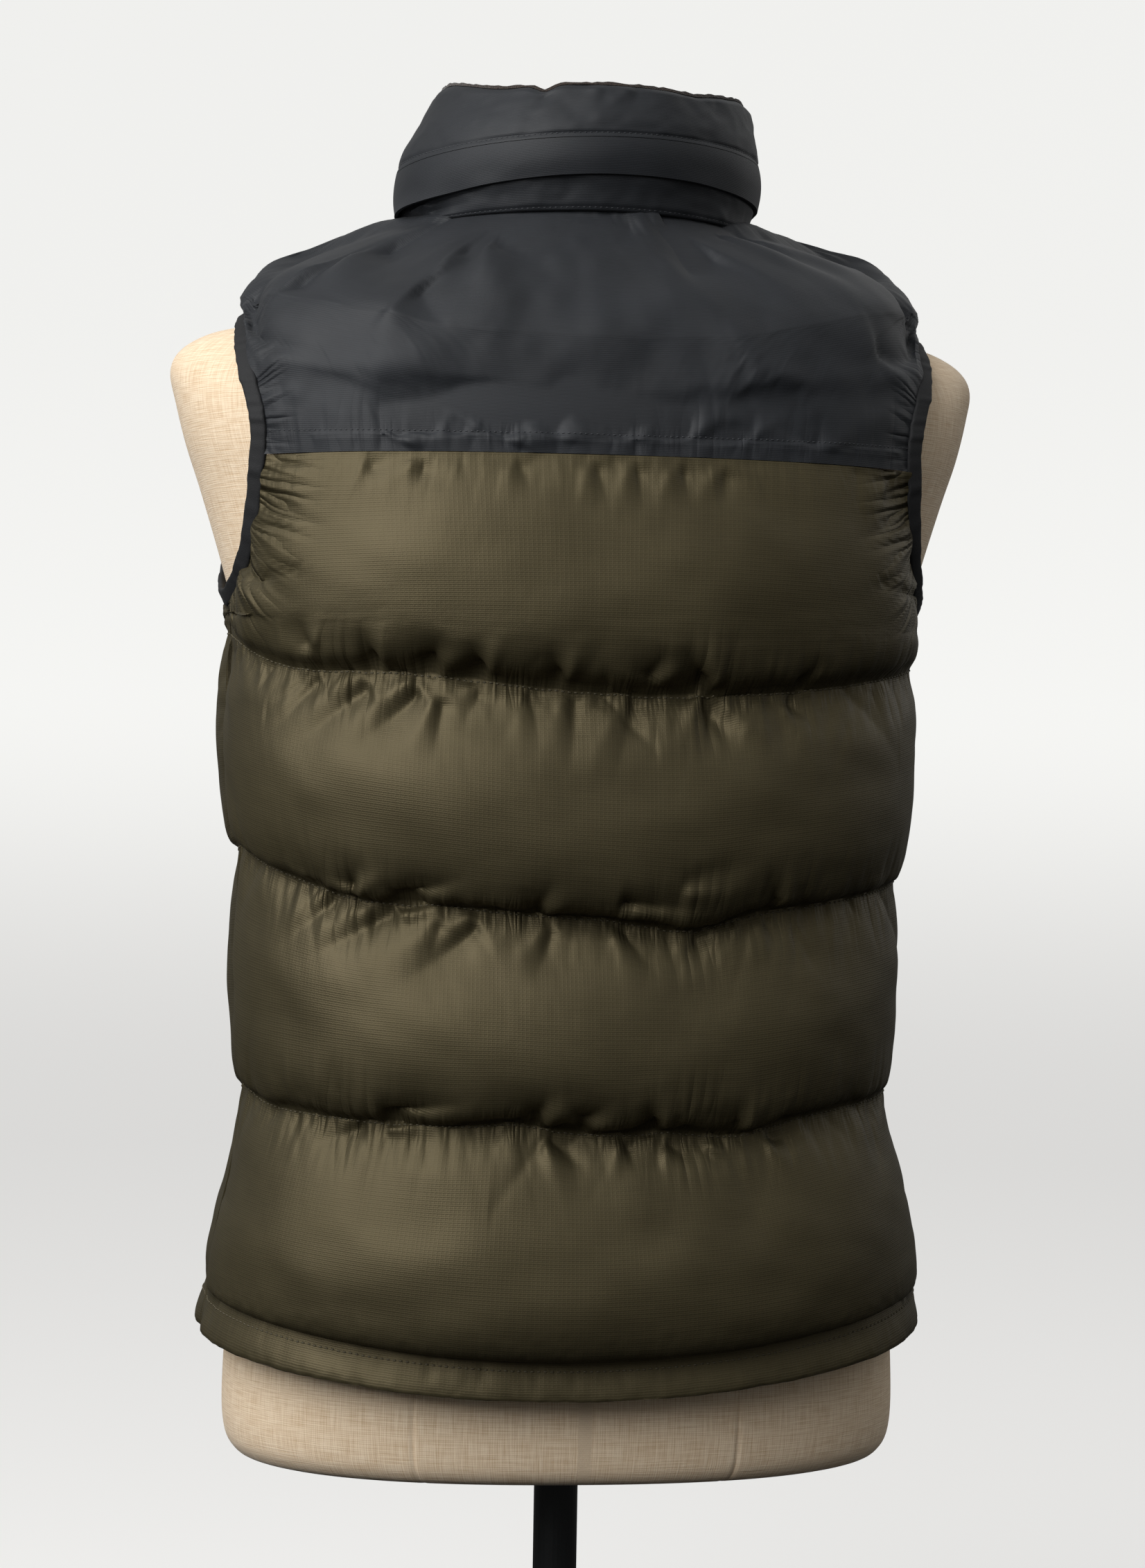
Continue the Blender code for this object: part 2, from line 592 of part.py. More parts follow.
def add_stand(material):
    """Make the round base plate, the pole and the catch that locks the form on the pole."""
    base = cylinder("stand_base", (0.0, 0.0, BASE_THICKNESS / 2), BASE_RADIUS, BASE_THICKNESS)
    rounding = base.modifiers.new("rounding", "BEVEL")
    rounding.width = BASE_BEVEL
    rounding.segments = 3
    base.data.materials.append(material)
    length = FORM_HEIGHT - BASE_THICKNESS - 2 * GAP
    pole = cylinder("stand_pole", (0.0, 0.0, BASE_THICKNESS + GAP + length / 2), POLE_RADIUS, length,
                    segments=32)
    pole.data.materials.append(material)
    place = (POLE_RADIUS + GAP + CATCH_SIZE[0] / 2, 0.0, FORM_HEIGHT - GAP - CATCH_SIZE[2] / 2)
    box("stand_catch", place, CATCH_SIZE, CATCH_BEVEL, material)


def main():
    """Clear the scene and build the vest, the form and the stand."""
    for obj in list(bpy.data.objects):
        bpy.data.objects.remove(obj, do_unlink=True)
    materials = {name: make_material(name) for name in FINISHES}
    add_stand(materials["black_steel"])
    add_form(materials["linen"])
    add_vest_panels(materials)
    add_binding("armhole_binding_left", 1, materials["binding_tape"])
    add_binding("armhole_binding_right", -1, materials["binding_tape"])
    add_collar(materials)
    add_zip(materials)


main()
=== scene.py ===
import math
from collections import namedtuple
from functools import partial

import bpy
import numpy as np
from mathutils import Matrix, Vector


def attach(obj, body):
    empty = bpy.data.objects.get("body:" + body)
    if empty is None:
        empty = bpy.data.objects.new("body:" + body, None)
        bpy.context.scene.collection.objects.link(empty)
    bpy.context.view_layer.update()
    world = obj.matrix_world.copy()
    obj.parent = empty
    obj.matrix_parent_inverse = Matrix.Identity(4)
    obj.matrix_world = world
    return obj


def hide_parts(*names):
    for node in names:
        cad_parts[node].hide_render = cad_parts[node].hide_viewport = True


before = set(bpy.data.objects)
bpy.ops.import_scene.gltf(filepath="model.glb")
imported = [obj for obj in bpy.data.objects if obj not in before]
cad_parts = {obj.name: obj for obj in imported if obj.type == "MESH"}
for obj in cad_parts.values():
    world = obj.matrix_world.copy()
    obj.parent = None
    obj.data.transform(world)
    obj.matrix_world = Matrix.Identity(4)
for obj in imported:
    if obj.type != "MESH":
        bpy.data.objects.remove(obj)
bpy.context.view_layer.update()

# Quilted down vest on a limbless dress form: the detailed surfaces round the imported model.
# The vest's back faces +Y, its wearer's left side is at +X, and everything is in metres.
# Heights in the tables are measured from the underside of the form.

bl_info = {
    "name": "Quilted vest on a dress form",
    "version": (1, 0, 0),
    "blender": (4, 5, 0),
    "location": "View3D > Sidebar > Vest",
    "description": "Builds a quilted down vest with its stitching, zip, form and stand",
    "category": "Add Mesh",
}

VEST_BODY = "vest_on_form"

# ---------------------------------------------------------------- sizes shared with the frame
FORM_HEIGHT = 0.300
GAP = 0.0003
CLOTH_THICKNESS = 0.0025
LINING_THICKNESS = 0.0020
LINING_SHARE = 0.3
YOKE_LOFT = 0.034
YOKE_BACK_LOFT = 0.020
EDGE_ROUNDING = 0.045
COLLAR_PADDING = 0.012
FLAP_STAND_OFF = 0.0005
FLAP_THICKNESS = 0.0020
BINDING_WIDTH = 0.008
BINDING_THICKNESS = 0.0036
SIDE_SEAM = math.radians(82.0)
SHOULDER_SEAM_AT_NECK = math.radians(105.0)
ARMHOLE_BACK_REACH = math.radians(35.0)
ARMHOLE_FRONT_REACH = math.radians(44.0)
ZIP_HALF_WIDTH = 0.0115
CHAIN_HALF_WIDTH = 0.0032
CHAIN_THICKNESS = 0.0024
TAPE_THICKNESS = 0.0012
SLIDER_LEVEL = 2.2

# Height, half width, back y, front y and superellipse power of each ring of the form
FORM_RINGS = np.array([
    (0.000, 0.174, 0.098, -0.098, 2.3),
    (0.004, 0.183, 0.107, -0.107, 2.3),
    (0.016, 0.189, 0.112, -0.112, 2.3),
    (0.045, 0.190, 0.114, -0.114, 2.3),
    (0.110, 0.186, 0.112, -0.113, 2.3),
    (0.200, 0.176, 0.110, -0.113, 2.3),
    (0.310, 0.176, 0.109, -0.116, 2.3),
    (0.400, 0.182, 0.114, -0.122, 2.3),
    (0.455, 0.187, 0.117, -0.126, 2.3),
    (0.495, 0.197, 0.119, -0.126, 2.3),
    (0.538, 0.210, 0.119, -0.122, 2.3),
    (0.565, 0.219, 0.117, -0.117, 2.3),
    (0.588, 0.225, 0.112, -0.110, 2.2),
    (0.606, 0.2285, 0.104, -0.101, 1.95),
    (0.618, 0.223, 0.098, -0.095, 1.80),
    (0.627, 0.208, 0.093, -0.090, 1.75),
    (0.631, 0.189, 0.090, -0.086, 1.75),
    (0.636, 0.165, 0.087, -0.083, 1.85),
    (0.643, 0.136, 0.081, -0.078, 1.90),
    (0.654, 0.107, 0.075, -0.074, 2.0),
    (0.670, 0.083, 0.068, -0.068, 2.0),
    (0.688, 0.069, 0.062, -0.064, 2.0),
    (0.701, 0.063, 0.059, -0.062, 2.0),
    (0.709, 0.058, 0.054, -0.057, 2.0),
    (0.713, 0.048, 0.044, -0.047, 2.0),
])

# Where the form's cover is seamed, as an angle each side of the middle
FORM_SEAM = math.radians(26.7)

# Half width, back y, front y, side height, back height, front height, power, and how much
# higher the ring sits on the wearer's left than in the middle
VEST_RINGS = np.array([
    (0.2010, 0.133, -0.135, 0.074, 0.052, 0.052, 2.4, -0.0030),
    (0.1990, 0.133, -0.135, 0.098, 0.073, 0.073, 2.4, -0.0030),
    (0.1810, 0.127, -0.130, 0.207, 0.196, 0.196, 2.4, -0.0035),
    (0.1850, 0.126, -0.134, 0.334, 0.308, 0.310, 2.4, 0.0045),
    (0.1930, 0.130, -0.140, 0.455, 0.429, 0.432, 2.4, 0.0060),
    (0.1945, 0.133, -0.140, 0.476, 0.478, 0.478, 2.4, 0.0),
    (0.2125, 0.134, -0.134, 0.552, 0.552, 0.552, 2.4, 0.0),
    (0.2135, 0.130, -0.128, 0.603, 0.586, 0.584, 2.4, 0.0),
    (0.1835, 0.121, -0.116, 0.640, 0.617, 0.611, 2.3, 0.0),
    (0.1420, 0.101, -0.103, 0.662, 0.658, 0.641, 2.1, 0.0),
    (0.0915, 0.076, -0.091, 0.693, 0.693, 0.664, 2.0, 0.0),
])
HEM_EDGE, HEM_STITCH, SEAM_C, SEAM_B, SEAM_A, ARMPIT, YOKE_HEM = range(7)
SHOULDER_EDGE = 8
NECK_SEAM = 10

# The armhole's oval, in levels: its middle and half of its height
ARMHOLE_MIDDLE = (ARMPIT + SHOULDER_EDGE) / 2
ARMHOLE_HALF = (SHOULDER_EDGE - ARMPIT) / 2

COLLAR_RINGS = np.array([
    (0.0945, 0.081, -0.095, 0.696, 0.696, 0.667, 2.0, 0.0),
    (0.1010, 0.089, -0.101, 0.706, 0.706, 0.680, 2.0, 0.0),
    (0.1010, 0.090, -0.102, 0.729, 0.729, 0.706, 2.0, 0.0),
    (0.0890, 0.080, -0.095, 0.757, 0.757, 0.737, 2.0, 0.0),
])
COLLAR_BASE, FLAP_EDGE, FLAP_SEAM, COLLAR_TOP = range(4)

# The collar's outer face as it is worn, in the same columns: its base overlaps the yoke, its
# seams hang lower on the wearer's left and its top edge leans towards the wearer's right
WORN_COLLAR = np.array([
    (0.0975, 0.0812, -0.0960, 0.6890, 0.6905, 0.6620, 2.0, -0.0010),
    (0.1030, 0.0885, -0.1010, 0.7005, 0.7090, 0.6810, 2.0, -0.0045),
    (0.1035, 0.0900, -0.1020, 0.7250, 0.7290, 0.7060, 2.0, -0.0040),
    (0.0880, 0.0800, -0.0940, 0.7650, 0.7580, 0.7410, 2.0, 0.0018),
])
COLLAR_LEAN = 0.0075
COLLAR_RADIUS = 0.095
PILE_WRAP = 0.3

# Start and end level of each channel, and the filling's depth at the sides and in the middle
CHANNELS = np.array([
    (HEM_EDGE, HEM_STITCH, 0.0040, 0.0050),
    (HEM_STITCH, SEAM_C, 0.0010, 0.0220),
    (SEAM_C, SEAM_B, 0.0070, 0.0230),
    (SEAM_B, SEAM_A, 0.0090, 0.0230),
    (SEAM_A, YOKE_HEM, 0.0060, 0.0200),
])


# ---------------------------------------------------------------- numbers and curves
def linear(hex_code):
    """Turn an sRGB hex code into linear red, green, blue and an alpha of 1."""
    values = [int(hex_code[i:i + 2], 16) / 255.0 for i in (0, 2, 4)]
    return (*[v / 12.92 if v <= 0.04045 else ((v + 0.055) / 1.055) ** 2.4 for v in values], 1.0)


def unit(vectors):
    """Scale vectors, kept in the last axis, to a length of one."""
    return vectors / np.maximum(np.linalg.norm(vectors, axis=-1, keepdims=True), 1e-12)


def ease(x):
    """Rise smoothly from 0 at 0 to 1 at 1: 3x^2 - 2x^3, held at its ends."""
    x = np.clip(x, 0.0, 1.0)
    return x * x * (3 - 2 * x)


def noise(x, y, seed):
    """Give smooth noise from -1 to 1: random values on whole numbers, eased between them."""
    size = 64
    lattice = np.random.default_rng(seed).uniform(-1.0, 1.0, (size, size))
    x, y = np.broadcast_arrays(np.asarray(x, float), np.asarray(y, float))
    left, low = np.floor(x).astype(int), np.floor(y).astype(int)
    s, t = ease(x - left), ease(y - low)
    below, above = (lattice[row % size, left % size] * (1 - s) + lattice[row % size, (left + 1) % size] * s
                    for row in (low, low + 1))
    return below * (1 - t) + above * t


def table_values(rows, level):
    """Read a table between its rows with a Catmull-Rom curve; row numbers are the levels."""
    level = np.asarray(level, dtype=float)
    low = np.clip(np.floor(level).astype(int), 0, len(rows) - 2)
    t = (level - low)[..., None]
    before, start = rows[np.maximum(low - 1, 0)], rows[low]
    end, after = rows[low + 1], rows[np.minimum(low + 2, len(rows) - 1)]
    slope_in, slope_out = (end - before) / 2, (after - start) / 2
    return ((2 * t**3 - 3 * t**2 + 1) * start + (t**3 - 2 * t**2 + t) * slope_in
            + (3 * t**2 - 2 * t**3) * end + (t**3 - t**2) * slope_out)


def shell_points(rings, level, angle):
    """Place points on a shell: angle 0 is the middle of the back, a right angle is +X.

    Each ring is a superellipse, radius (|sin|^p + |cos|^p)^(-1/p) times its half width and
    depth. Its height runs from the side's to the middle's with the squared cosine, and
    tilts with the sine.
    """
    level, angle = np.broadcast_arrays(np.asarray(level, float), np.asarray(angle, float))
    values = np.moveaxis(table_values(rings, level), -1, 0)
    half_width, back_y, front_y, side_z, back_z, front_z, power, tilt = values
    sine, cosine = np.sin(angle), np.cos(angle)
    radius = (np.abs(sine) ** power + np.abs(cosine) ** power) ** (-1.0 / power)
    at_back = cosine > 0
    depth = np.where(at_back, back_y, -front_y)
    middle_z = np.where(at_back, back_z, front_z)
    height = FORM_HEIGHT + side_z + (middle_z - side_z) * cosine**2 + tilt * sine
    return np.stack([half_width * radius * sine, depth * radius * cosine, height], axis=-1)


# Where a seam is pulled off its even line: the seam, the place round from the back's middle,
# how far up it is pulled, and the pull's half width
Pull = namedtuple("Pull", "seam girth rise width")
PULLS = (
    Pull(SEAM_A, 0.170, -0.010, 0.055),
    Pull(SEAM_A, -0.090, -0.003, 0.120),
    Pull(SEAM_B, 0.235, 0.006, 0.025),
    Pull(SEAM_B, 0.130, -0.005, 0.035),
    Pull(SEAM_B, -0.055, -0.007, 0.028),
    Pull(SEAM_C, 0.240, 0.006, 0.030),
    Pull(SEAM_C, 0.045, 0.003, 0.020),
    Pull(SEAM_C, -0.085, -0.007, 0.032),
    Pull(SEAM_C, -0.015, -0.003, 0.025),
)


def vest_points(level, angle):
    """Place points on the vest's shell, with each seam pulled up or down in soft bumps.

    A pull is rise * exp(-(x / width)^2) along the seam, fading with
    exp(-(levels / 0.35)^2) above and below it.
    """
    points = shell_points(VEST_RINGS, level, angle)
    girth = np.interp(angle, GIRTH_ANGLES, GIRTH)
    for pull in PULLS:
        points[..., 2] += (pull.rise * np.exp(-((girth - pull.girth) / pull.width) ** 2)
                           * np.exp(-((level - pull.seam) / 0.35) ** 2))
    return points


def shell_normals(rings, level, angle):
    """Find the outward unit normals of a shell from small steps along and round it."""
    step = 1e-4
    above = shell_points(rings, np.minimum(level + step, len(rings) - 1), angle)
    below = shell_points(rings, np.maximum(level - step, 0), angle)
    ahead, behind = (shell_points(rings, level, angle + turn) for turn in (step, -step))
    return unit(np.cross(above - below, ahead - behind))


def running_length(points, axis):
    """Add up the straight steps between neighbouring points along one axis of a grid."""
    steps = np.linalg.norm(np.diff(points, axis=axis), axis=-1)
    first = np.zeros_like(np.take(steps, [0], axis))
    return np.concatenate([first, np.cumsum(steps, axis)], axis)


GIRTH_ANGLES = np.linspace(-math.pi, math.pi, 721)
GIRTH = running_length(shell_points(VEST_RINGS, SEAM_A, GIRTH_ANGLES), 0)
GIRTH -= GIRTH[len(GIRTH) // 2]
SIDE_SEAM_GIRTH = np.interp(SIDE_SEAM, GIRTH_ANGLES, GIRTH)
RISE_LEVELS = np.linspace(HEM_EDGE, NECK_SEAM, 401)
RISE = running_length(shell_points(VEST_RINGS, RISE_LEVELS, 0.0), 0)


def cloth_place(level, angle):
    """Give the place on the cut cloth: metres round from the back's middle, and metres up."""
    return np.interp(angle, GIRTH_ANGLES, GIRTH), np.interp(level, RISE_LEVELS, RISE)


def grid_normals(points):
    """Find a grid's outward unit normals: rows run up, columns run round by rising angle."""
    return unit(np.cross(np.gradient(points, axis=0), np.gradient(points, axis=1)))


# ---------------------------------------------------------------- seams and edges
def armhole_centre(along):
    """Give the angle of the oval's middle line, from -1 at the armpit to 1 at the shoulder edge."""
    return SIDE_SEAM + (math.pi / 2 - SIDE_SEAM) * (along + 1) / 2


def armhole_edge(level, reach):
    """Give the angle of the armhole's edge, an oval from the armpit to the shoulder edge."""
    along = np.clip((level - ARMHOLE_MIDDLE) / ARMHOLE_HALF, -1.0, 1.0)
    return armhole_centre(along) + reach * np.sqrt(1 - along**2)


def seam_edge(level, reach):
    """Give the angle where a panel ends: side seam, then armhole, then shoulder seam."""
    shoulder = np.clip((level - SHOULDER_EDGE) / (NECK_SEAM - SHOULDER_EDGE), 0.0, 1.0)
    shoulder_seam = math.pi / 2 + (SHOULDER_SEAM_AT_NECK - math.pi / 2) * shoulder
    edge = np.where(level <= ARMPIT, SIDE_SEAM, armhole_edge(level, reach))
    return np.where(level >= SHOULDER_EDGE, shoulder_seam, edge)


def zip_edge(rings, level):
    """Give the angle at which a front panel reaches the zip tape."""
    return math.pi - np.arcsin(ZIP_HALF_WIDTH / table_values(rings, level)[..., 0])


def oval_levels(start, end, count):
    """Space levels evenly along the armhole's oval, so its ends get more rows."""
    turn = np.arccos(np.clip((ARMHOLE_MIDDLE - np.array([start, end])) / ARMHOLE_HALF, -1.0, 1.0))
    return ARMHOLE_MIDDLE - ARMHOLE_HALF * np.cos(np.linspace(*turn, count))


def channel_levels(start, end, count):
    """Space levels closer together, by half, at the two stitched ends of a channel."""
    even = np.linspace(0.0, 1.0, count)
    return start + (end - start) * (even + (1 - np.cos(even * math.pi)) / 2) / 2


def armhole_oval(turn, scale=1.0):
    """Give the levels and angles of the left armhole's edge, drawn smaller by a scale."""
    along = -np.cos(turn) * scale
    reach = np.where(np.sin(turn) > 0, ARMHOLE_FRONT_REACH, ARMHOLE_BACK_REACH)
    return ARMHOLE_MIDDLE + ARMHOLE_HALF * along, armhole_centre(along) + reach * np.sin(turn) * scale


ARMHOLE = shell_points(VEST_RINGS, *armhole_oval(np.linspace(0.0, 2 * math.pi, 81)))
ARMHOLE_LENGTH = running_length(ARMHOLE, 0)


def armhole_distance(points):
    """Find each point's distance to the nearer armhole's edge, and where along it that is."""
    mirrored = points.copy()
    mirrored[..., 0] = np.abs(mirrored[..., 0])
    distance = np.full(points.shape[:-1], np.inf)
    along = np.zeros(points.shape[:-1])
    for corner, following, run in zip(ARMHOLE, ARMHOLE[1:], ARMHOLE_LENGTH):
        side = following - corner
        share = np.clip((mirrored - corner) @ side / (side @ side), 0.0, 1.0)
        away = np.linalg.norm(mirrored - corner - share[..., None] * side, axis=-1)
        closer = away < distance
        distance[closer] = away[closer]
        along[closer] = (run + share * np.linalg.norm(side))[closer]
    return distance, along


# ---------------------------------------------------------------- filling, gathers and folds
def roll(fraction):
    """Rise from 0 at a stitched edge to 1 in the middle of a filled channel and back."""
    return np.maximum(1 - np.abs(2 * fraction - 1) ** 2.4, 0.0) ** 0.6


def armhole_taper(points):
    """Thin a filling to nothing at the armholes' edges, within the edge's rounding."""
    return roll(np.clip(armhole_distance(points)[0] / EDGE_ROUNDING, 0.0, 1.0) / 2)


def sagging_roll(fraction):
    """Give a roll whose filling has sunk: steep at its lower seam, and sloping off to the upper.

    It is (1 - |2 f^0.76 - 1|^2.4) to a power that grows from 0.5 to 1 up the channel, so
    it is fullest two fifths of the way up.
    """
    return np.maximum(1 - np.abs(2 * fraction**0.76 - 1) ** 2.4, 0.0) ** (0.5 + 0.5 * fraction)


def gathers(along, away, pitch, reach, depth, seed):
    """Press valleys into cloth at right angles to a stitched line.

    Each valley is depth * exp(-|x / width|^1.2) across its own leaning line. It starts at
    the stitches, is deepest a few millimetres off, and fades with exp(-(away / reach)^2).
    Places, depths, reaches and leans are drawn from a seeded generator.
    """
    rng = np.random.default_rng(seed)
    places = np.arange(along.min(), along.max(), pitch)
    places = places + rng.uniform(-0.4, 0.4, places.size) * pitch
    reaches = reach * np.exp(rng.normal(0.0, 0.5, places.size))
    depths = depth * rng.uniform(0.25, 1.3, places.size)
    widths = pitch * rng.uniform(0.20, 0.42, places.size)
    leans = rng.normal(0.0, 0.35, places.size)
    total = np.zeros(along.shape)
    for place, far, deep, wide, lean in zip(places, reaches, depths, widths, leans):
        near = (away < 2.2 * far) & (np.abs(along - place) < 6 * wide + 0.3 * far)
        x = along[near] - place - lean * away[near]
        width = wide * (1 + 0.9 * away[near] / far)
        fade = away[near] / (away[near] + 0.0015) * np.exp(-(away[near] / far) ** 2)
        total[near] -= deep * fade * np.exp(-np.abs(x / width) ** 1.2)
    return total


# One row for each large fold: where it starts and ends (metres round from the back's middle,
# metres above the form's underside), its half width and how deep it is pressed
Fold = namedtuple("Fold", "start end width depth")


def folds(girth, height, table):
    """Press a crease that opens out from a sharp start, with a soft ridge beside it, for each fold.

    Across its line the crease is -exp(-|x / side|^1.3), with side 2 on the gentle flank and
    0.7 on the steep one, and the ridge is 0.4 exp(-((x + 1.6) / 0.9)^2), where x is in half
    widths that grow from 0.5 to 1.8 times along the line. Its depth rises within 5 mm of
    the start and eases off to the end. A negative width mirrors it, and a negative depth
    raises it.
    """
    total = np.zeros(girth.shape)
    for fold in table:
        start, end = np.array(fold.start), np.array(fold.end)
        line = end - start
        length = np.linalg.norm(line)
        run = ((girth - start[0]) * line[0] + (height - start[1]) * line[1]) / length
        along = run / length
        across = ((girth - start[0]) * line[1] - (height - start[1]) * line[0]) / length
        x = across / (fold.width * (0.5 + 1.3 * np.clip(along, 0.0, 1.0)))
        dent = np.exp(-(np.abs(x) / np.where(x > 0, 2.0, 0.7)) ** 1.3)
        ridge = 0.4 * np.exp(-((x + 1.6) / 0.9) ** 2)
        total += fold.depth * ease(run / 0.005) * (1 - ease(along)) * (ridge - dent)
    return total


BODY_FOLDS = (
    # under the yoke's hem
    Fold((0.002, 0.549), (-0.006, 0.520), 0.005, 0.0023),
    Fold((-0.018, 0.549), (-0.022, 0.518), 0.005, 0.0024),
    Fold((-0.040, 0.549), (-0.046, 0.520), 0.006, 0.0025),
    Fold((-0.062, 0.548), (-0.060, 0.522), 0.005, 0.0021),
    Fold((-0.152, 0.546), (-0.192, 0.530), -0.007, 0.0034),
    Fold((0.112, 0.549), (0.106, 0.536), 0.004, 0.0024),
    Fold((0.084, 0.549), (0.088, 0.532), 0.004, 0.0025),
    Fold((0.040, 0.549), (0.030, 0.528), 0.005, 0.0023),
    # below the upper seam, wearer's left
    Fold((0.150, 0.436), (0.184, 0.392), 0.006, 0.0026),
    Fold((0.120, 0.432), (0.172, 0.388), 0.007, 0.0034),
    Fold((0.092, 0.430), (0.132, 0.390), 0.006, 0.0037),
    Fold((0.080, 0.426), (0.084, 0.384), 0.005, 0.0027),
    Fold((0.060, 0.430), (0.072, 0.405), 0.005, 0.0022),
    Fold((0.035, 0.430), (0.026, 0.388), 0.005, 0.0019),
    Fold((0.010, 0.428), (0.014, 0.378), 0.006, 0.0017),
    Fold((-0.022, 0.428), (-0.006, 0.372), 0.006, 0.0022),
    # above the upper seam
    Fold((0.150, 0.446), (0.158, 0.470), 0.005, 0.0039),
    Fold((0.113, 0.436), (0.124, 0.466), 0.005, 0.0056),
    Fold((0.087, 0.433), (0.078, 0.462), 0.006, 0.0070),
    Fold((0.058, 0.432), (0.066, 0.458), 0.005, 0.0059),
    Fold((0.018, 0.430), (0.026, 0.456), 0.005, 0.0048),
    Fold((-0.026, 0.430), (-0.036, 0.456), 0.005, 0.0048),
    Fold((-0.060, 0.428), (-0.040, 0.456), 0.006, 0.0073),
    Fold((-0.110, 0.430), (-0.126, 0.452), 0.005, 0.0036),
    # the pinch in the upper seam, wearer's right
    Fold((-0.062, 0.428), (-0.058, 0.386), 0.007, 0.0046),
    Fold((-0.062, 0.428), (-0.100, 0.398), 0.006, -0.0034),
    Fold((-0.105, 0.428), (-0.135, 0.400), 0.006, 0.0022),
    # above the middle seam
    Fold((0.108, 0.311), (0.060, 0.334), 0.006, 0.0073),
    Fold((0.132, 0.318), (0.120, 0.342), 0.005, 0.0052),
    Fold((0.030, 0.308), (0.020, 0.334), 0.005, 0.0036),
    Fold((-0.012, 0.315), (-0.074, 0.313), 0.005, 0.0044),
    Fold((-0.045, 0.322), (-0.096, 0.325), -0.007, -0.0020),
    Fold((-0.105, 0.312), (-0.090, 0.340), 0.005, 0.0039),
    # below the middle seam
    Fold((0.140, 0.320), (0.186, 0.280), 0.005, 0.0027),
    Fold((0.108, 0.312), (0.174, 0.274), 0.006, 0.0036),
    Fold((0.060, 0.305), (0.112, 0.266), 0.006, 0.0034),
    Fold((0.082, 0.306), (0.090, 0.280), 0.005, 0.0026),
    Fold((0.020, 0.304), (0.034, 0.270), 0.005, 0.0022),
    Fold((-0.016, 0.306), (-0.042, 0.272), 0.006, 0.0031),
    Fold((-0.060, 0.303), (-0.058, 0.272), 0.006, 0.0026),
    Fold((-0.100, 0.310), (-0.108, 0.286), 0.005, 0.0024),
    # above the lower seam
    Fold((0.116, 0.197), (0.058, 0.213), 0.005, 0.0067),
    Fold((0.030, 0.196), (0.022, 0.222), 0.005, 0.0042),
    Fold((0.006, 0.195), (-0.014, 0.214), 0.005, 0.0050),
    Fold((-0.040, 0.193), (-0.028, 0.214), 0.005, 0.0050),
    Fold((-0.085, 0.192), (-0.080, 0.216), 0.005, 0.0039),
    # below the lower seam
    Fold((0.125, 0.196), (0.166, 0.180), 0.005, 0.0026),
    Fold((0.022, 0.194), (-0.004, 0.172), 0.006, 0.0046),
    Fold((-0.022, 0.192), (-0.028, 0.170), 0.005, 0.0040),
    Fold((-0.045, 0.192), (-0.064, 0.176), 0.006, 0.0042),
    Fold((-0.066, 0.188), (-0.086, 0.179), 0.003, -0.0020),
    Fold((-0.104, 0.194), (-0.126, 0.186), 0.006, 0.0044),
    # from the armhole's edge, wearer's left
    Fold((0.205, 0.530), (0.150, 0.512), 0.006, 0.0034),
    Fold((0.210, 0.500), (0.150, 0.470), 0.006, 0.0038),
    Fold((0.195, 0.555), (0.150, 0.548), 0.005, 0.0028),
    # from the armhole's edge, wearer's right
    Fold((-0.205, 0.515), (-0.165, 0.500), 0.005, 0.0028),
    Fold((-0.210, 0.490), (-0.170, 0.470), 0.005, 0.0028),
)
YOKE_FOLDS = (
    # from the neck and the shoulder, wearer's left
    Fold((0.088, 0.680), (0.020, 0.650), 0.013, 0.0060),
    Fold((0.110, 0.668), (0.078, 0.652), 0.009, 0.0034),
    Fold((0.182, 0.672), (0.106, 0.634), 0.015, 0.0062),
    Fold((0.116, 0.640), (0.062, 0.606), 0.015, 0.0047),
    Fold((0.196, 0.642), (0.108, 0.620), 0.013, 0.0057),
    # from the armhole, wearer's left
    Fold((0.205, 0.578), (0.148, 0.564), 0.009, 0.0055),
    Fold((0.168, 0.568), (0.125, 0.570), -0.009, 0.0039),
    # above the yoke's hem
    Fold((0.100, 0.560), (0.080, 0.578), 0.007, 0.0039),
    Fold((0.083, 0.560), (0.076, 0.592), 0.007, 0.0034),
    Fold((0.066, 0.560), (0.070, 0.582), 0.007, 0.0034),
    Fold((0.050, 0.560), (0.028, 0.594), 0.011, 0.0052),
    Fold((0.024, 0.560), (0.014, 0.580), 0.007, 0.0031),
    Fold((-0.008, 0.560), (-0.014, 0.584), 0.009, 0.0036),
    Fold((-0.040, 0.560), (-0.036, 0.590), 0.009, 0.0036),
    Fold((-0.070, 0.560), (-0.066, 0.578), 0.007, 0.0029),
    Fold((-0.105, 0.560), (-0.112, 0.586), 0.009, 0.0031),
    # wearer's right
    Fold((-0.094, 0.682), (-0.050, 0.636), 0.017, 0.0078),
    Fold((-0.145, 0.694), (-0.205, 0.658), 0.012, 0.0047),
    Fold((-0.172, 0.680), (-0.206, 0.650), 0.009, -0.0031),
    Fold((-0.155, 0.615), (-0.186, 0.608), 0.007, 0.0036),
    Fold((-0.200, 0.600), (-0.165, 0.590), 0.007, 0.0042),
    Fold((-0.200, 0.562), (-0.160, 0.568), -0.009, 0.0047),
)
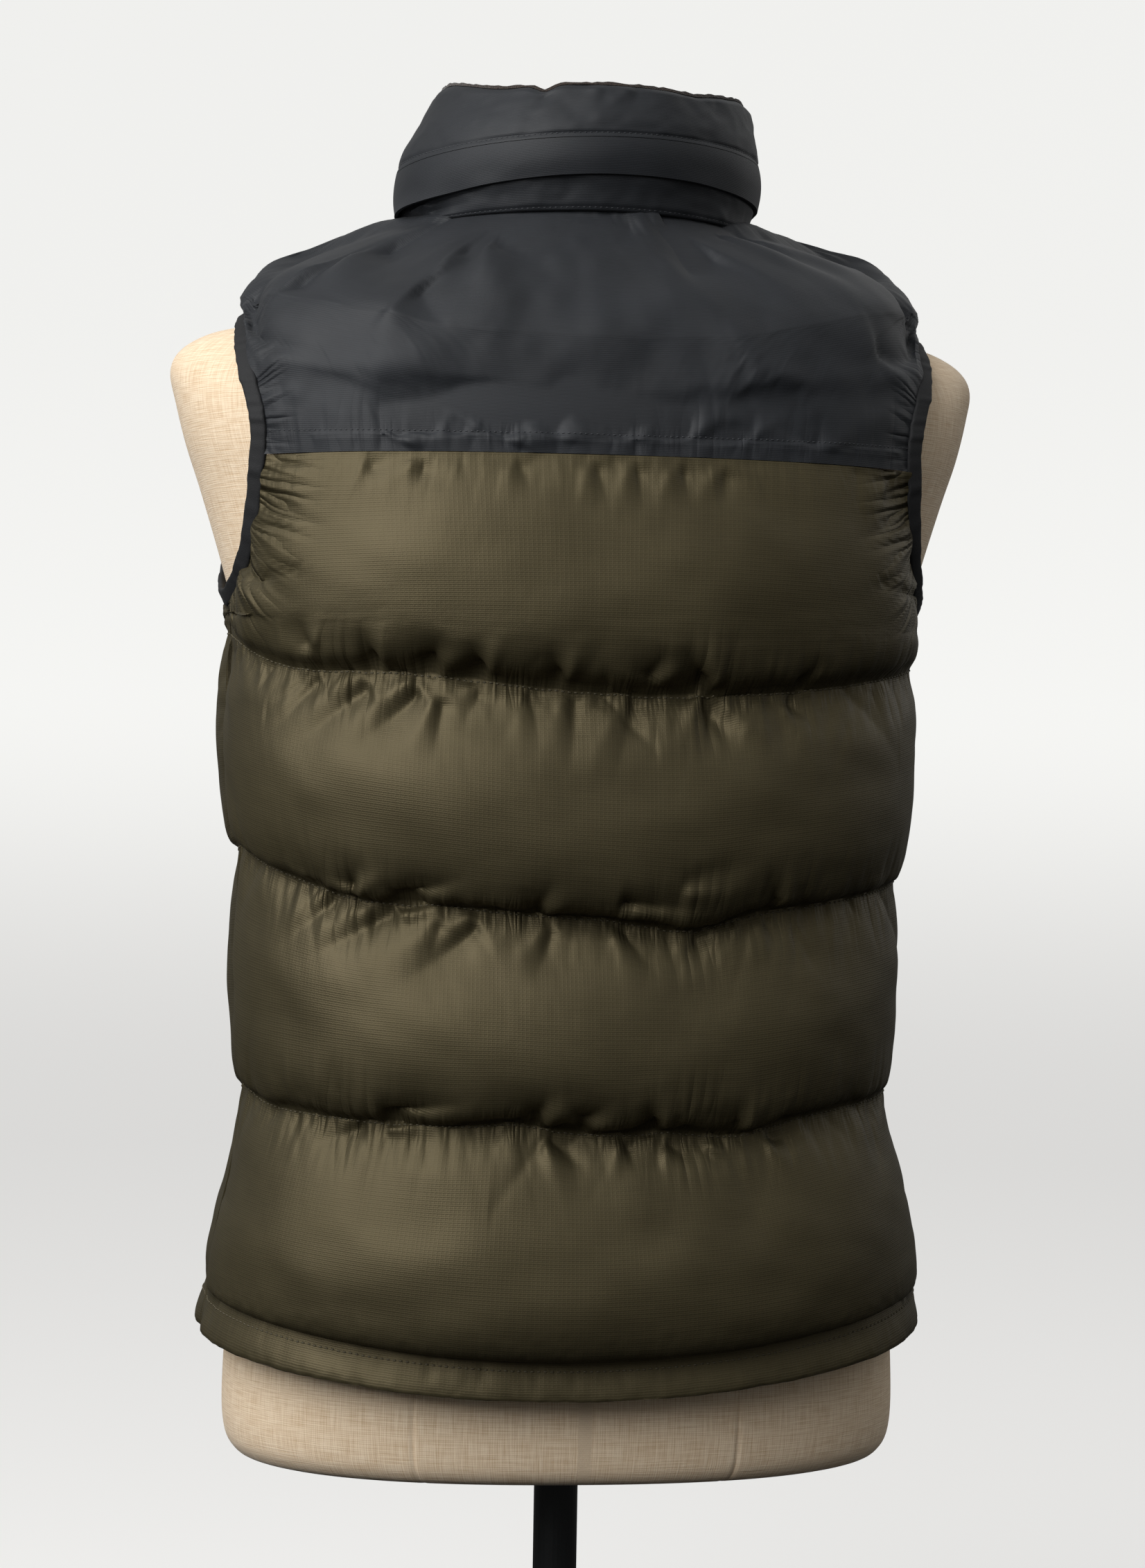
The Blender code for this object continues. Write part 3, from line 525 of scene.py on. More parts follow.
COLLAR_FOLDS = (
    # the lower band under the flap's left end
    Fold((0.128, 0.704), (0.082, 0.700), 0.004, 0.0050),
    Fold((0.112, 0.697), (0.058, 0.708), 0.003, -0.0026),
    Fold((0.106, 0.698), (0.044, 0.704), 0.003, 0.0024),
    Fold((0.104, 0.694), (0.050, 0.697), 0.003, 0.0018),
    # down from the top edge
    Fold((0.036, 0.758), (0.034, 0.744), 0.004, 0.0018),
    Fold((0.000, 0.760), (0.003, 0.742), 0.005, 0.0013),
    Fold((-0.018, 0.760), (-0.015, 0.738), 0.005, 0.0013),
    Fold((-0.075, 0.760), (-0.070, 0.742), 0.005, 0.0010),
)


def channel_shape(level, angle):
    """Give how far up its channel each point lies, from 0 to 1, and the filling's depth there.

    The depth at the sides is the table's on the wearer's left and a fifth of it on the right.
    """
    index = np.clip(np.searchsorted(CHANNELS[:, 1], level, side="left"), 0, len(CHANNELS) - 1)
    start, end, side_loft, middle_loft = np.moveaxis(CHANNELS[index], -1, 0)
    fraction = np.clip((level - start) / (end - start), 0.0, 1.0)
    side_loft = side_loft * (0.60 + 0.40 * np.sin(angle))
    depth = side_loft + (middle_loft - side_loft) * np.abs(np.cos(angle)) ** 1.2
    return fraction, depth


def side_taper(angle, width):
    """Draw the filling in towards the side seams."""
    girth = np.interp(angle, GIRTH_ANGLES, GIRTH)
    return 0.35 + 0.65 * ease(np.abs(np.abs(girth) - SIDE_SEAM_GIRTH) / width)


def stuffed_start(level, angle, _settings):
    """Give the body's cloth before it is blown up: the stitched shell with its rolls."""
    base = vest_points(level, angle)
    normal = shell_normals(VEST_RINGS, level, angle)
    fraction, depth = channel_shape(level, angle)
    taper = armhole_taper(base) * np.where(level <= ARMPIT, side_taper(angle, 0.018), 1.0)
    lift = depth * sagging_roll(fraction) * taper
    return base + normal * (CLOTH_THICKNESS / 2 + lift)[..., None]


def inflate(points, cut, pinned, pressure, settings, seed):
    """Blow up a stitched grid of cloth and return where its points settle.

    The cut gives the flat pattern that each point comes from. Pinned points stay where
    they are stitched. Seeded unevenness of a fifth of a millimetre starts the creases.
    """
    rows, columns, _ = points.shape
    rng = np.random.default_rng(seed)
    start = points + rng.normal(0.0, 0.0002, points.shape) * ~pinned[..., None]
    obj = write_mesh("cloth_in_work", start.reshape(-1, 3), grid_quads(rows, columns), [], sharp=0)
    obj.shape_key_add(name="Basis")
    key = obj.shape_key_add(name="cut")
    flat = np.stack([cut[..., 0], np.zeros(cut.shape[:2]), cut[..., 1]], -1)
    key.data.foreach_set("co", flat.astype(np.float32).ravel())
    group = obj.vertex_groups.new(name="stitched")
    group.add(np.flatnonzero(pinned.ravel()).tolist(), 1.0, "REPLACE")
    cloth = obj.modifiers.new("cloth", "CLOTH")
    fabric = cloth.settings
    fabric.quality = settings.quality
    fabric.mass = settings.mass
    fabric.tension_stiffness = fabric.compression_stiffness = settings.stiffness
    fabric.shear_stiffness = settings.shear
    fabric.bending_stiffness = settings.bending
    fabric.tension_damping = fabric.compression_damping = fabric.shear_damping = 5.0
    fabric.air_damping = 2.0
    fabric.vertex_group_mass = "stitched"
    fabric.rest_shape_key = key
    fabric.use_pressure = True
    fabric.uniform_pressure_force = pressure
    fabric.effector_weights.gravity = settings.gravity
    cloth.collision_settings.use_collision = False
    scene = bpy.context.scene
    last = settings.frames
    cloth.point_cache.frame_start, cloth.point_cache.frame_end = 1, last
    for moment in range(1, last + 1):
        scene.frame_set(moment)
    settled = obj.evaluated_get(bpy.context.evaluated_depsgraph_get()).data
    result = np.empty(rows * columns * 3, np.float32)
    settled.vertices.foreach_get("co", result)
    mesh = obj.data
    bpy.data.objects.remove(obj)
    bpy.data.meshes.remove(mesh)
    scene.frame_set(1)
    moved = result.reshape(points.shape).astype(float) - points
    far = np.linalg.norm(moved, axis=-1, keepdims=True)
    return points + moved * np.minimum(1.0, settings.cap / np.maximum(far, 1e-9))


def midpoints(points, breaks):
    """Double a grid's rows with the four-point cubic rule, kept sharp at stitched rows."""
    parts = []
    for first, last in zip(breaks, breaks[1:]):
        part = points[first:last + 1]
        if len(part) > 2:
            ends = (3 * part[:1] - 3 * part[1:2] + part[2:3],
                    3 * part[-1:] - 3 * part[-2:-1] + part[-3:-2])
        else:
            ends = (2 * part[:1] - part[1:2], 2 * part[-1:] - part[-2:-1])
        wide = np.concatenate([ends[0], part, ends[1]])
        between = (9 * (wide[1:-2] + wide[2:-1]) - wide[:-3] - wide[3:]) / 16
        woven = np.empty((2 * len(part) - 1, *part.shape[1:]))
        woven[::2], woven[1::2] = part, between
        parts.append(woven if not parts else woven[1:])
    return np.concatenate(parts)


def bilinear(table, row, column):
    """Read a table between its whole rows and columns."""
    low = np.clip(np.floor(row).astype(int), 0, table.shape[0] - 2)
    left = np.clip(np.floor(column).astype(int), 0, table.shape[1] - 2)
    t, s = row - low, column - left
    return ((table[low, left] * (1 - s) + table[low, left + 1] * s) * (1 - t)
            + (table[low + 1, left] * (1 - s) + table[low + 1, left + 1] * s) * t)


# Rows and columns of the table in which the flat pattern is measured
CUT_ROWS, CUT_COLUMNS = 120, 81


def flat_cut(level, angle, start, middles, slack, settings):
    """Give the flat pattern the cloth is cut to, as metres across and up.

    Up is the length of the rolled start along a line of one angle, let out by the slack: a
    third less on the wearer's right, by 0.6 less at the sides just above the hem, and by
    0.4 less down the middle of the back. Across lies between the stitched shell's length
    round and that of the fullest level of each channel, by the settings' fullness, and
    blends from one channel to the next, so the cloth is longer than its seams.
    """
    levels = np.linspace(level.min(), level.max(), CUT_ROWS)
    angles = np.linspace(angle.min(), angle.max(), CUT_COLUMNS)
    rolled = start(*np.meshgrid(levels, angles, indexing="ij"), settings)
    row = np.interp(level, levels, np.arange(float(CUT_ROWS)))
    column = np.interp(angle, angles, np.arange(float(CUT_COLUMNS)))
    up = bilinear(running_length(rolled, 0), row, column)
    fullest = np.meshgrid(middles, angles, indexing="ij")
    girths = (settings.fullness * running_length(start(*fullest, settings), 1)
              + (1 - settings.fullness) * running_length(vest_points(*fullest), 1))
    girths -= girths[:, CUT_COLUMNS // 2, None]
    across = bilinear(girths, np.interp(level, middles, np.arange(float(len(middles)))), column)
    low_side = np.exp(-((level - 1.4) / 0.5) ** 2) * np.sin(angle) ** 4
    let_out = 1 + slack * ((1 + 0.35 * np.minimum(np.sin(angle), 0.0)) * (1 - 0.6 * low_side)
                           - 0.4 * np.maximum(np.cos(angle), 0.0) ** 2)
    return np.stack([across, up * let_out], -1)


def blow_up(level, angle, stitched, start, middles, slack, pressure, settings, seed):
    """Settle every second point as cloth, ease out the finest ripples, and put the rest back."""
    points = start(level, angle, settings)[::2, ::2]
    cut = flat_cut(level, angle, start, middles, slack, settings)[::2, ::2]
    pinned = np.zeros(points.shape[:2], bool)
    pinned[stitched] = True
    pinned[[0, -1]] = True
    pinned[:, [0, -1]] = True
    blown = inflate(points, cut, pinned, pressure, settings, seed)
    for _ in range(settings.easing):
        calm = blown.copy()
        calm[1:-1, 1:-1] = (blown[:-2, 1:-1] + blown[2:, 1:-1]
                            + blown[1:-1, :-2] + blown[1:-1, 2:]) / 4
        blown = np.where(pinned[..., None], blown, 0.65 * blown + 0.35 * calm)
    wide = midpoints(np.swapaxes(blown, 0, 1), [0, blown.shape[1] - 1])
    return midpoints(np.swapaxes(wide, 0, 1), np.flatnonzero(stitched))


# Where the cut's girth is measured: each body channel's fullest level, and levels up the yoke
BODY_MIDDLES = np.array([0.5, 1.45, 2.45, 3.45, 4.9])
YOKE_MIDDLES = np.array([6.25, 7.3, 8.4, 9.3, 10.0])

# How many points to each side are evened out on the bellies, and by how much
SMOOTHING_SPAN = 9
SMOOTHING_SHARE = 0.85

# The body's gathers at a seam: their pitch, and how many times as far and as deep they reach
BODY_GATHERS = ((0.0065, 1.0, 1.0), (0.015, 1.8, 1.5))
# The yoke's gathers: their pitch, how far they reach and their share of the settings' depth
YOKE_GATHERS = ((0.0075, 0.009, 0.5), (0.016, 0.018, 1.1))

# How far the yoke's filling is pressed down on the wearer's left shoulder
LEFT_SHOULDER_DROP = 0.30

# How far a crease may sink below the stitched shell, which keeps 0.8 mm to the lining
DEEPEST = 0.0004


def even_out(face, span, share):
    """Replace a share of each point by the mean of its row over span points to each side."""
    columns = np.arange(face.shape[1])
    inside = ease(np.minimum(columns, columns[::-1]) / (2 * span))[None, :, None]
    total = np.cumsum(np.pad(face, ((0, 0), (span + 1, span), (0, 0)), mode="edge"), axis=1)
    mean = (total[:, 2 * span + 1:] - total[:, :-2 * span - 1]) / (2 * span + 1)
    return face + share[..., None] * inside * (mean - face)


def body_surface(level, angle, settings, seed):
    """Give the outer face of the body's quilted cloth.

    The rolls of the stitched shell are blown up as real cloth on every second point, with
    the seams and edges held. The points between are put back, the bellies are evened out
    along their rows, and short gathers and large folds are pressed in along the new normals.
    """
    base = vest_points(level, angle)
    girth, rise = cloth_place(level, angle)
    distance, along_armhole = armhole_distance(base)
    smooth = stuffed_start(level, angle, settings)
    rise_of_seams = cloth_place(CHANNELS[:, :2].ravel(), 0.0)[1]
    belly = ease(np.abs(rise[..., None] - rise_of_seams).min(axis=-1) / 0.030)
    stitched = np.isin(level[::2, 0], CHANNELS[:, :2])
    smooth = blow_up(level, angle, stitched, stuffed_start, BODY_MIDDLES, settings.slack,
                     settings.pressure, settings, seed)
    smooth = even_out(smooth, SMOOTHING_SPAN, SMOOTHING_SHARE * belly)
    detail = belly * (0.0012 * noise(girth / 0.070 + rise / 0.110, rise / 0.032, seed + 5)
                      + 0.0005 * noise(girth / 0.024 - rise / 0.060, rise / 0.018, seed + 6))
    arc = running_length(smooth, 0)
    for number, (start, end, _, _) in enumerate(CHANNELS):
        first, last = np.flatnonzero((level[:, 0] >= start) & (level[:, 0] <= end))[[0, -1]]
        part = slice(first, last + 1)
        for off, line, reach, here in ((arc[part] - arc[first], start, 0.008, 1),
                                       (arc[last] - arc[part], end, 0.010, 2)):
            size = 0.5 if line in (HEM_EDGE, HEM_STITCH, YOKE_HEM) else 1.0
            for step, (pitch, farther, deeper) in enumerate(BODY_GATHERS):
                detail[part] += gathers(girth[part], off, pitch, farther * reach * size,
                                        deeper * settings.gather * size,
                                        seed + 10 * number + here + 2 * step)
    detail += gathers(along_armhole, distance, 0.009, 0.026, settings.gather * 2.2, seed + 3)
    beside = np.abs(np.abs(girth) - SIDE_SEAM_GIRTH) + np.where(level > ARMPIT, 1.0, 0.0)
    detail += gathers(rise, beside, 0.012, 0.012, settings.gather, seed + 4)
    detail += settings.fold * folds(girth, base[..., 2] - FORM_HEIGHT, BODY_FOLDS)
    return press(smooth, base, level, angle, detail)


def yoke_loft(level, angle, shoulder, taper=1.0):
    """Give the depth of the yoke's filling, deepest on top of the shoulders, thinned by a taper."""
    fraction = (level - YOKE_HEM) / (NECK_SEAM - YOKE_HEM)
    depth = YOKE_BACK_LOFT + (shoulder - YOKE_BACK_LOFT) * np.sin(angle) ** 2
    return depth * taper * roll(fraction) * np.clip(0.4 + 1.2 * fraction, 0.0, 1.0)


def yoke_start(level, angle, settings):
    """Give the yoke's cloth before it is blown up: a flat stitched hem, then the filling."""
    base = vest_points(level, angle)
    normal = shell_normals(VEST_RINGS, level, angle)
    above_stitch = cloth_place(level, angle)[1] - cloth_place(YOKE_HEM, 0.0)[1] - settings.hem_fold
    lift = yoke_loft(level, angle, settings.shoulder, armhole_taper(base)) * ease(above_stitch / 0.065)
    return base + normal * (CLOTH_THICKNESS / 2 + lift)[..., None]


def yoke_surface(level, angle, settings, seed):
    """Give the outer face of the yoke, blown up as the body is, with a hem that stands proud.

    The blown cloth takes over from the stitched hem within 60 mm. The wearer's left shoulder
    is pressed down by a share that grows with the sine's cube.
    """
    base = vest_points(level, angle)
    girth, rise = cloth_place(level, angle)
    distance, along_armhole = armhole_distance(base)
    smooth = yoke_start(level, angle, settings)
    up = rise - rise[0]
    stitched = (level[::2, 0] <= YOKE_HEM + 0.25) | (level[::2, 0] == NECK_SEAM)
    blown = blow_up(level, angle, stitched, yoke_start, YOKE_MIDDLES, settings.yoke_slack,
                    settings.yoke_pressure, settings, seed)
    smooth += (blown - smooth) * ease((up - settings.hem_fold) / 0.06)[..., None]
    smooth -= LEFT_SHOULDER_DROP * (smooth - base) * np.maximum(np.sin(angle), 0.0)[..., None] ** 3
    above_stitch = np.abs(up - settings.hem_fold)
    detail = settings.hem_lip * ease((settings.hem_fold - up) / 0.002)
    top = running_length(smooth, 0)
    for here, (pitch, reach, share) in enumerate(YOKE_GATHERS, start=seed + 1):
        depth = settings.gather * share
        detail = detail + gathers(girth, above_stitch, pitch, reach, depth, here)
        detail += gathers(girth, top[-1] - top, pitch, reach, depth * 0.4, here + 2)
        detail += gathers(along_armhole, distance, pitch, reach * 1.1, depth * 2.0, here + 4)
    detail += settings.yoke_fold * folds(girth, base[..., 2] - FORM_HEIGHT, YOKE_FOLDS)
    free = ease((up - settings.hem_fold) / 0.02)
    detail += free * (0.0006 * noise(girth / 0.014, rise / 0.014, seed + 7)
                      + 0.0018 * noise(girth / 0.045 + 0.4 * rise / 0.045, rise / 0.030, seed + 8))
    return press(smooth, base, level, angle, detail)


def press(smooth, base, level, angle, detail):
    """Move a face along its normals by the detail, but never too close to the lining."""
    normal = shell_normals(VEST_RINGS, level, angle)
    lifted = np.sum((smooth - base) * normal, axis=-1)
    return smooth + grid_normals(smooth) * np.maximum(detail, -lifted - DEEPEST)[..., None]


def lining_surface(level, angle, loft):
    """Give the inner face: the shell's own surface, let in by a share of the filling."""
    base = shell_points(VEST_RINGS, level, angle)
    normal = shell_normals(VEST_RINGS, level, angle)
    filling = loft(level, angle) * armhole_taper(base)
    inward = CLOTH_THICKNESS / 2 + LINING_SHARE * filling * np.cos(angle) ** 2
    return base - normal * inward[..., None]


def body_filling(level, angle):
    """Give the depth of the body's filling."""
    fraction, depth = channel_shape(level, angle)
    return depth * roll(fraction)


def yoke_filling(level, angle):
    """Give the depth of the yoke's filling as the frame has it."""
    return yoke_loft(level, angle, YOKE_LOFT)


# ---------------------------------------------------------------- meshes
def write_mesh(name, vertices, faces, materials, uv=None, slots=None, sharp=65.0):
    """Put arrays into a new smooth-shaded mesh object at the origin.

    Faces are an array of vertex numbers, four to a row, in which a triangle repeats its
    last number. Places on the cut cloth become the UV map "cloth", and the next two pairs of
    values, where given, the maps "seam" and "armhole": the place along the nearest of these
    lines and the distance from it.
    """
    mesh = bpy.data.meshes.new(name)
    faces = np.asarray(faces)
    corners = np.where(faces[:, 3] == faces[:, 2], 3, 4)
    keep = np.ones(faces.shape, bool)
    keep[:, 3] = corners == 4
    loops = faces[keep]
    mesh.vertices.add(len(vertices))
    mesh.vertices.foreach_set("co", np.asarray(vertices, np.float32).ravel())
    mesh.loops.add(len(loops))
    mesh.loops.foreach_set("vertex_index", loops.astype(np.int32))
    mesh.polygons.add(len(faces))
    starts = np.concatenate([[0], np.cumsum(corners)[:-1]])
    mesh.polygons.foreach_set("loop_start", starts.astype(np.int32))
    if slots is not None:
        mesh.polygons.foreach_set("material_index", np.asarray(slots, np.int32))
    for layer_name, first in (("cloth", 0), ("seam", 2), ("armhole", 4)):
        if uv is not None and uv.shape[-1] > first:
            layer = mesh.uv_layers.new(name=layer_name)
            places = np.asarray(uv[:, first:first + 2], np.float32)[loops]
            layer.data.foreach_set("uv", places.ravel())
    mesh.update(calc_edges=True)
    mesh.shade_smooth()
    if sharp:
        mesh.set_sharp_from_angle(angle=math.radians(sharp))
    for material in materials:
        mesh.materials.append(material)
    obj = bpy.data.objects.new(name, mesh)
    bpy.context.scene.collection.objects.link(obj)
    return obj


def grid_quads(rows, columns, first=0, closed=False, flip=False):
    """List the quads of a grid stored row by row. Unflipped, they face rows cross columns."""
    row = np.arange(rows - 1)[:, None] * columns + first
    column = np.arange(columns if closed else columns - 1)[None, :]
    right = (column + 1) % columns
    quads = np.stack(np.broadcast_arrays(row + column, row + columns + column,
                                         row + columns + right, row + right), -1).reshape(-1, 4)
    return quads[:, ::-1] if flip else quads


def rim_of(rows, columns):
    """List a grid's border points in order: along the first row, up, back and down."""
    return np.concatenate([np.arange(columns), np.arange(1, rows) * columns + columns - 1,
                           (rows - 1) * columns + np.arange(columns - 2, -1, -1),
                           np.arange(rows - 2, 0, -1) * columns])


def add_wall(name, outer, inner, uv, materials):
    """Close a grid and an inner grid of every second point into one wall with four rims."""
    rows, columns, _ = outer.shape
    count = rows * columns
    inner = inner[::2, ::2]
    front = grid_quads(rows, columns)
    back = grid_quads(*inner.shape[:2], count, flip=True)
    rim = rim_of(rows, columns)
    under = rim_of(*inner.shape[:2]) + count
    here, between, after = rim[::2], rim[1::2], np.roll(rim[::2], -1)
    edge = np.concatenate([np.stack([here, between, under, under], -1),
                           np.stack([between, after, np.roll(under, -1), under], -1)])
    faces = np.concatenate([front, back, edge])
    slots = np.concatenate([np.zeros(len(front)), np.ones(len(back)), np.zeros(len(edge))])
    vertices = np.concatenate([outer.reshape(-1, 3), inner.reshape(-1, 3)])
    values = uv.shape[-1]
    places = np.concatenate([uv.reshape(-1, values), uv[::2, ::2].reshape(-1, values)])
    return write_mesh(name, vertices, faces, materials, places, slots)


def tube_faces(rows, columns, closed):
    """List the faces of rings that turn right-handed about their path.

    The path closes on itself, or each end is closed by a fan to one more point.
    """
    if closed:
        row = np.arange(rows)[:, None] * columns
        following = (np.arange(rows)[:, None] + 1) % rows * columns
        column = np.arange(columns)[None, :]
        right = (column + 1) % columns
        return np.stack(np.broadcast_arrays(row + column, row + right, following + right,
                                            following + column), -1).reshape(-1, 4)
    column = np.arange(columns)
    right = (column + 1) % columns
    first, last = np.full(columns, rows * columns), np.full(columns, rows * columns + 1)
    top = (rows - 1) * columns
    return np.concatenate([grid_quads(rows, columns, closed=True, flip=True),
                           np.stack([right, column, first, first], -1),
                           np.stack([top + column, top + right, last, last], -1)])


def add_tube(name, rings, materials, uv=None, closed=True, sharp=65.0):
    """Join rings of points into a tube, closed on itself or by a fan at each end."""
    rows, columns, _ = rings.shape
    vertices = rings.reshape(-1, 3)
    places = None if uv is None else uv.reshape(-1, 2)
    if not closed:
        vertices = np.concatenate([vertices, rings[[0, -1]].mean(axis=1)])
        places = None if uv is None else np.concatenate([places, uv[[0, -1]].mean(axis=1)])
    return write_mesh(name, vertices, tube_faces(rows, columns, closed), materials, places, sharp=sharp)


def add_copies(name, stations, columns, places, ahead, out, material, slot):
    """Repeat a small solid: at each station along its length an ellipse, with fans at its ends.

    A station says how far along it is, half its width, half its height and its lift. Each
    copy is turned to its own directions ahead and out.
    """
    run, half_width, half_height, lift = np.array(stations).T[..., None]
    turn = np.linspace(0.0, 2 * math.pi, columns, endpoint=False)
    rings = np.stack([run + 0 * turn, half_width * np.cos(turn),
                      lift + half_height * np.sin(turn)], -1)
    shape = np.concatenate([rings.reshape(-1, 3), rings[[0, -1]].mean(axis=1)])
    axes = np.stack([ahead, unit(np.cross(out, ahead)), out], axis=1)
    vertices = places[:, None] + shape @ axes
    offsets = np.arange(len(places))[:, None, None] * len(shape)
    faces = tube_faces(len(stations), columns, False)[None] + offsets
    piece = write_mesh(name, vertices.reshape(-1, 3), faces.reshape(-1, 4), [material], sharp=0)
    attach(piece, VEST_BODY)
    return piece


def add_stitches(name, lines, stitch, gap, thread, material, slot):
    """Lay a row of stitches along each line of points and outward directions.

    A stitch is a lozenge: its ends sink into the cloth and its middle is one thread thick.
    """
    places, ahead, out = [], [], []
    for points, outward in lines:
        run = running_length(points, 0)
        at = np.arange(stitch, run[-1] - stitch, stitch + gap)
        place, before, after = (np.stack([np.interp(at + off, run, points[:, i]) for i in range(3)], -1)
                                for off in (0.0, -stitch / 2, stitch / 2))
        up = np.stack([np.interp(at, run, outward[:, i]) for i in range(3)], -1)
        forward = unit(after - before)
        places.append(place)
        ahead.append(forward)
        out.append(unit(up - forward * np.sum(up * forward, -1, keepdims=True)))
    stations = ((-0.5 * stitch, 0.1 * thread, 0.1 * thread, -0.4 * thread),
                (-0.24 * stitch, 0.5 * thread, 0.4 * thread, 0.15 * thread),
                (0.24 * stitch, 0.5 * thread, 0.4 * thread, 0.15 * thread),
                (0.5 * stitch, 0.1 * thread, 0.1 * thread, -0.4 * thread))
    placed = (np.concatenate(part) for part in (places, ahead, out))
    return add_copies(name, stations, 6, *placed, material, slot)


def row_line(outer, row):
    """Give the points of one row of a grid, with their outward directions."""
    return outer[row], grid_normals(outer)[row]


def trim_edges(grid):
    """Draw the four edges of a grid in by half the gap between neighbouring pieces."""
    trimmed = grid.copy()
    for axis in (0, 1):
        for edge, inside in ((0, 1), (-1, -2)):
            border = np.take(trimmed, edge, axis)
            inward = unit(np.take(trimmed, inside, axis) - border) * GAP / 2
            index = [slice(None), slice(None)]
            index[axis] = edge
            trimmed[tuple(index)] = border + inward
    return trimmed


# ---------------------------------------------------------------- materials
def link(tree, source, socket):
    """Feed a socket from another one, or from a node's first output."""
    tree.links.new(source.outputs[0] if isinstance(source, bpy.types.Node) else source, socket)


def add_node(tree, kind, inputs=None, **settings):
    """Add a shader node with its settings; each input is a value, or the node or socket that feeds it."""
    made = tree.nodes.new("ShaderNode" + kind)
    for field, value in settings.items():
        setattr(made, field, value)
    for key, value in (inputs or {}).items():
        socket = made.inputs[key]
        if isinstance(value, (bpy.types.Node, bpy.types.NodeSocket)):
            link(tree, value, socket)
        else:
            socket.default_value = value
    return made


def feed(tree, shader, **sources):
    """Feed the shader's sockets of these names from nodes or sockets."""
    for key, source in sources.items():
        link(tree, source, shader.inputs[key.replace("_", " ")])


def new_material(name, **constants):
    """Start a material; the constants are set on the shader's own sockets.

    With the material come the calls that add a node to it and that feed its shader.
    """
    material = bpy.data.materials.new(name)
    material.use_nodes = True
    tree = material.node_tree
    shader = tree.nodes["Principled BSDF"]
    for key, value in constants.items():
        shader.inputs[key.replace("_", " ")].default_value = value
    return material, partial(add_node, tree), partial(feed, tree, shader)


def dimmed(values, share=1.0):
    """Give a colour property's value, times a share, as red, green, blue and an alpha of 1."""
    return (*[value * share for value in values], 1.0)


def woven_cloth(name, lit, rib, cell, bump, roughness, puckers, **constants):
    """Make plain-woven nylon: fine crosswise ribs and, where cell is set, a ripstop grid.

    The pattern reads the cloth's own UV map, which is in metres. Real yarns are a tenth of
    a millimetre and would not show, so the ribs are drawn coarser. The ribs give the eye
    the horizontal streaks of taffeta and the grid the small squares of ripstop. Both are
    relief, and the colour follows their height, so they also carry painted shade in the
    ribs' troughs and a painted highlight on the raised grid. The cloudy tone and gloss give
    the uneven calendering. Each row of puckers, its line, pitch, reach, depth and least
    share, presses patches of short creases at right angles to that line.
    """
    material, node, feed_shader = new_material(name, **constants)
    place = node("UVMap", uv_map="cloth")
    split = node("SeparateXYZ", {0: place})

    def ripple(axis, pitch, sharpness):
        turn = node("Math", {0: split.outputs[axis], 1: 2 * math.pi / pitch}, operation="MULTIPLY")
        wave = node("Math", {0: turn}, operation="SINE")
        half = node("Math", {0: wave, 1: 0.5, 2: 0.5}, operation="MULTIPLY_ADD")
        return node("Math", {0: half, 1: sharpness}, operation="POWER")

    ribs = ripple(1, rib, 1.0)
    height = ribs
    if cell:
        grid = node("Math", {0: ripple(0, cell, 5.0), 1: ripple(1, cell, 5.0)}, operation="MAXIMUM")
        height = node("Math", {0: grid, 1: 0.8, 2: ribs}, operation="MULTIPLY_ADD")
    cloud = node("TexNoise", {"Vector": place, "Scale": 16.0, "Detail": 3.0})
    slub = node("Mapping", {"Vector": place, "Scale": (60.0, 900.0, 1.0)})
    yarn = node("TexNoise", {"Vector": slub, "Scale": 1.0})
    mixed = node("Math", {0: yarn, 1: 0.5, 2: cloud}, operation="MULTIPLY_ADD")
    tone = node("MapRange", {0: mixed, 1: 0.45, 2: 1.05, 3: 0.0, 4: 1.0})
    shade = node("Mix", {0: tone, 6: dimmed(lit, 0.64), 7: dimmed(lit)}, data_type="RGBA")
    # Painted shade and highlight of the weave: the colour is darkened in the ribs' troughs and lightened on
    # the raised grid, following the relief's height
    weave_shade_and_highlight = node("MapRange", {0: height, 1: 0.0, 2: 1.8 if cell else 1.0, 3: 0.86, 4: 1.08})
    final = node("Mix", {0: 1.0, 6: shade.outputs[2], 7: weave_shade_and_highlight},
                 data_type="RGBA", blend_type="MULTIPLY")
    gloss = node("MapRange", {0: cloud, 1: 0.3, 2: 0.7, 3: roughness - 0.04, 4: roughness + 0.05})
    relief = node("Bump", {"Height": height, "Strength": bump, "Distance": 0.0002})
    for line, pitch, reach, depth, least in puckers:
        at_line = node("UVMap", uv_map=line)
        streak = node("Mapping", {"Vector": at_line, "Rotation": (0.0, 0.0, 0.1),
                                  "Scale": (1 / pitch, 0.12 / pitch, 1.0)})
        waves = node("TexNoise", {"Vector": streak, "Scale": 1.0, "Detail": 1.0, "Distortion": 0.5})
        patch = node("TexNoise", {"Vector": at_line, "Scale": 0.18 / pitch, "Detail": 1.0})
        here = node("MapRange", {0: patch, 1: 0.40, 2: 0.62, 3: least, 4: 1.0})
        signed = node("Math", {0: waves, 1: 4.0, 2: -2.0}, operation="MULTIPLY_ADD")
        crease = node("Math", {0: signed}, operation="ABSOLUTE")
        away = node("SeparateXYZ", {0: at_line}).outputs[1]
        fade = node("MapRange", {0: away, 1: 0.0, 2: reach, 3: here, 4: 0.0},
                    interpolation_type="SMOOTHERSTEP")
        pressed = node("Math", {0: crease, 1: fade}, operation="MULTIPLY")
        relief = node("Bump", {"Height": pressed, "Strength": 1.0, "Distance": depth, "Normal": relief})
    feed_shader(Base_Color=final.outputs[2], Roughness=gloss, Normal=relief)
    return material


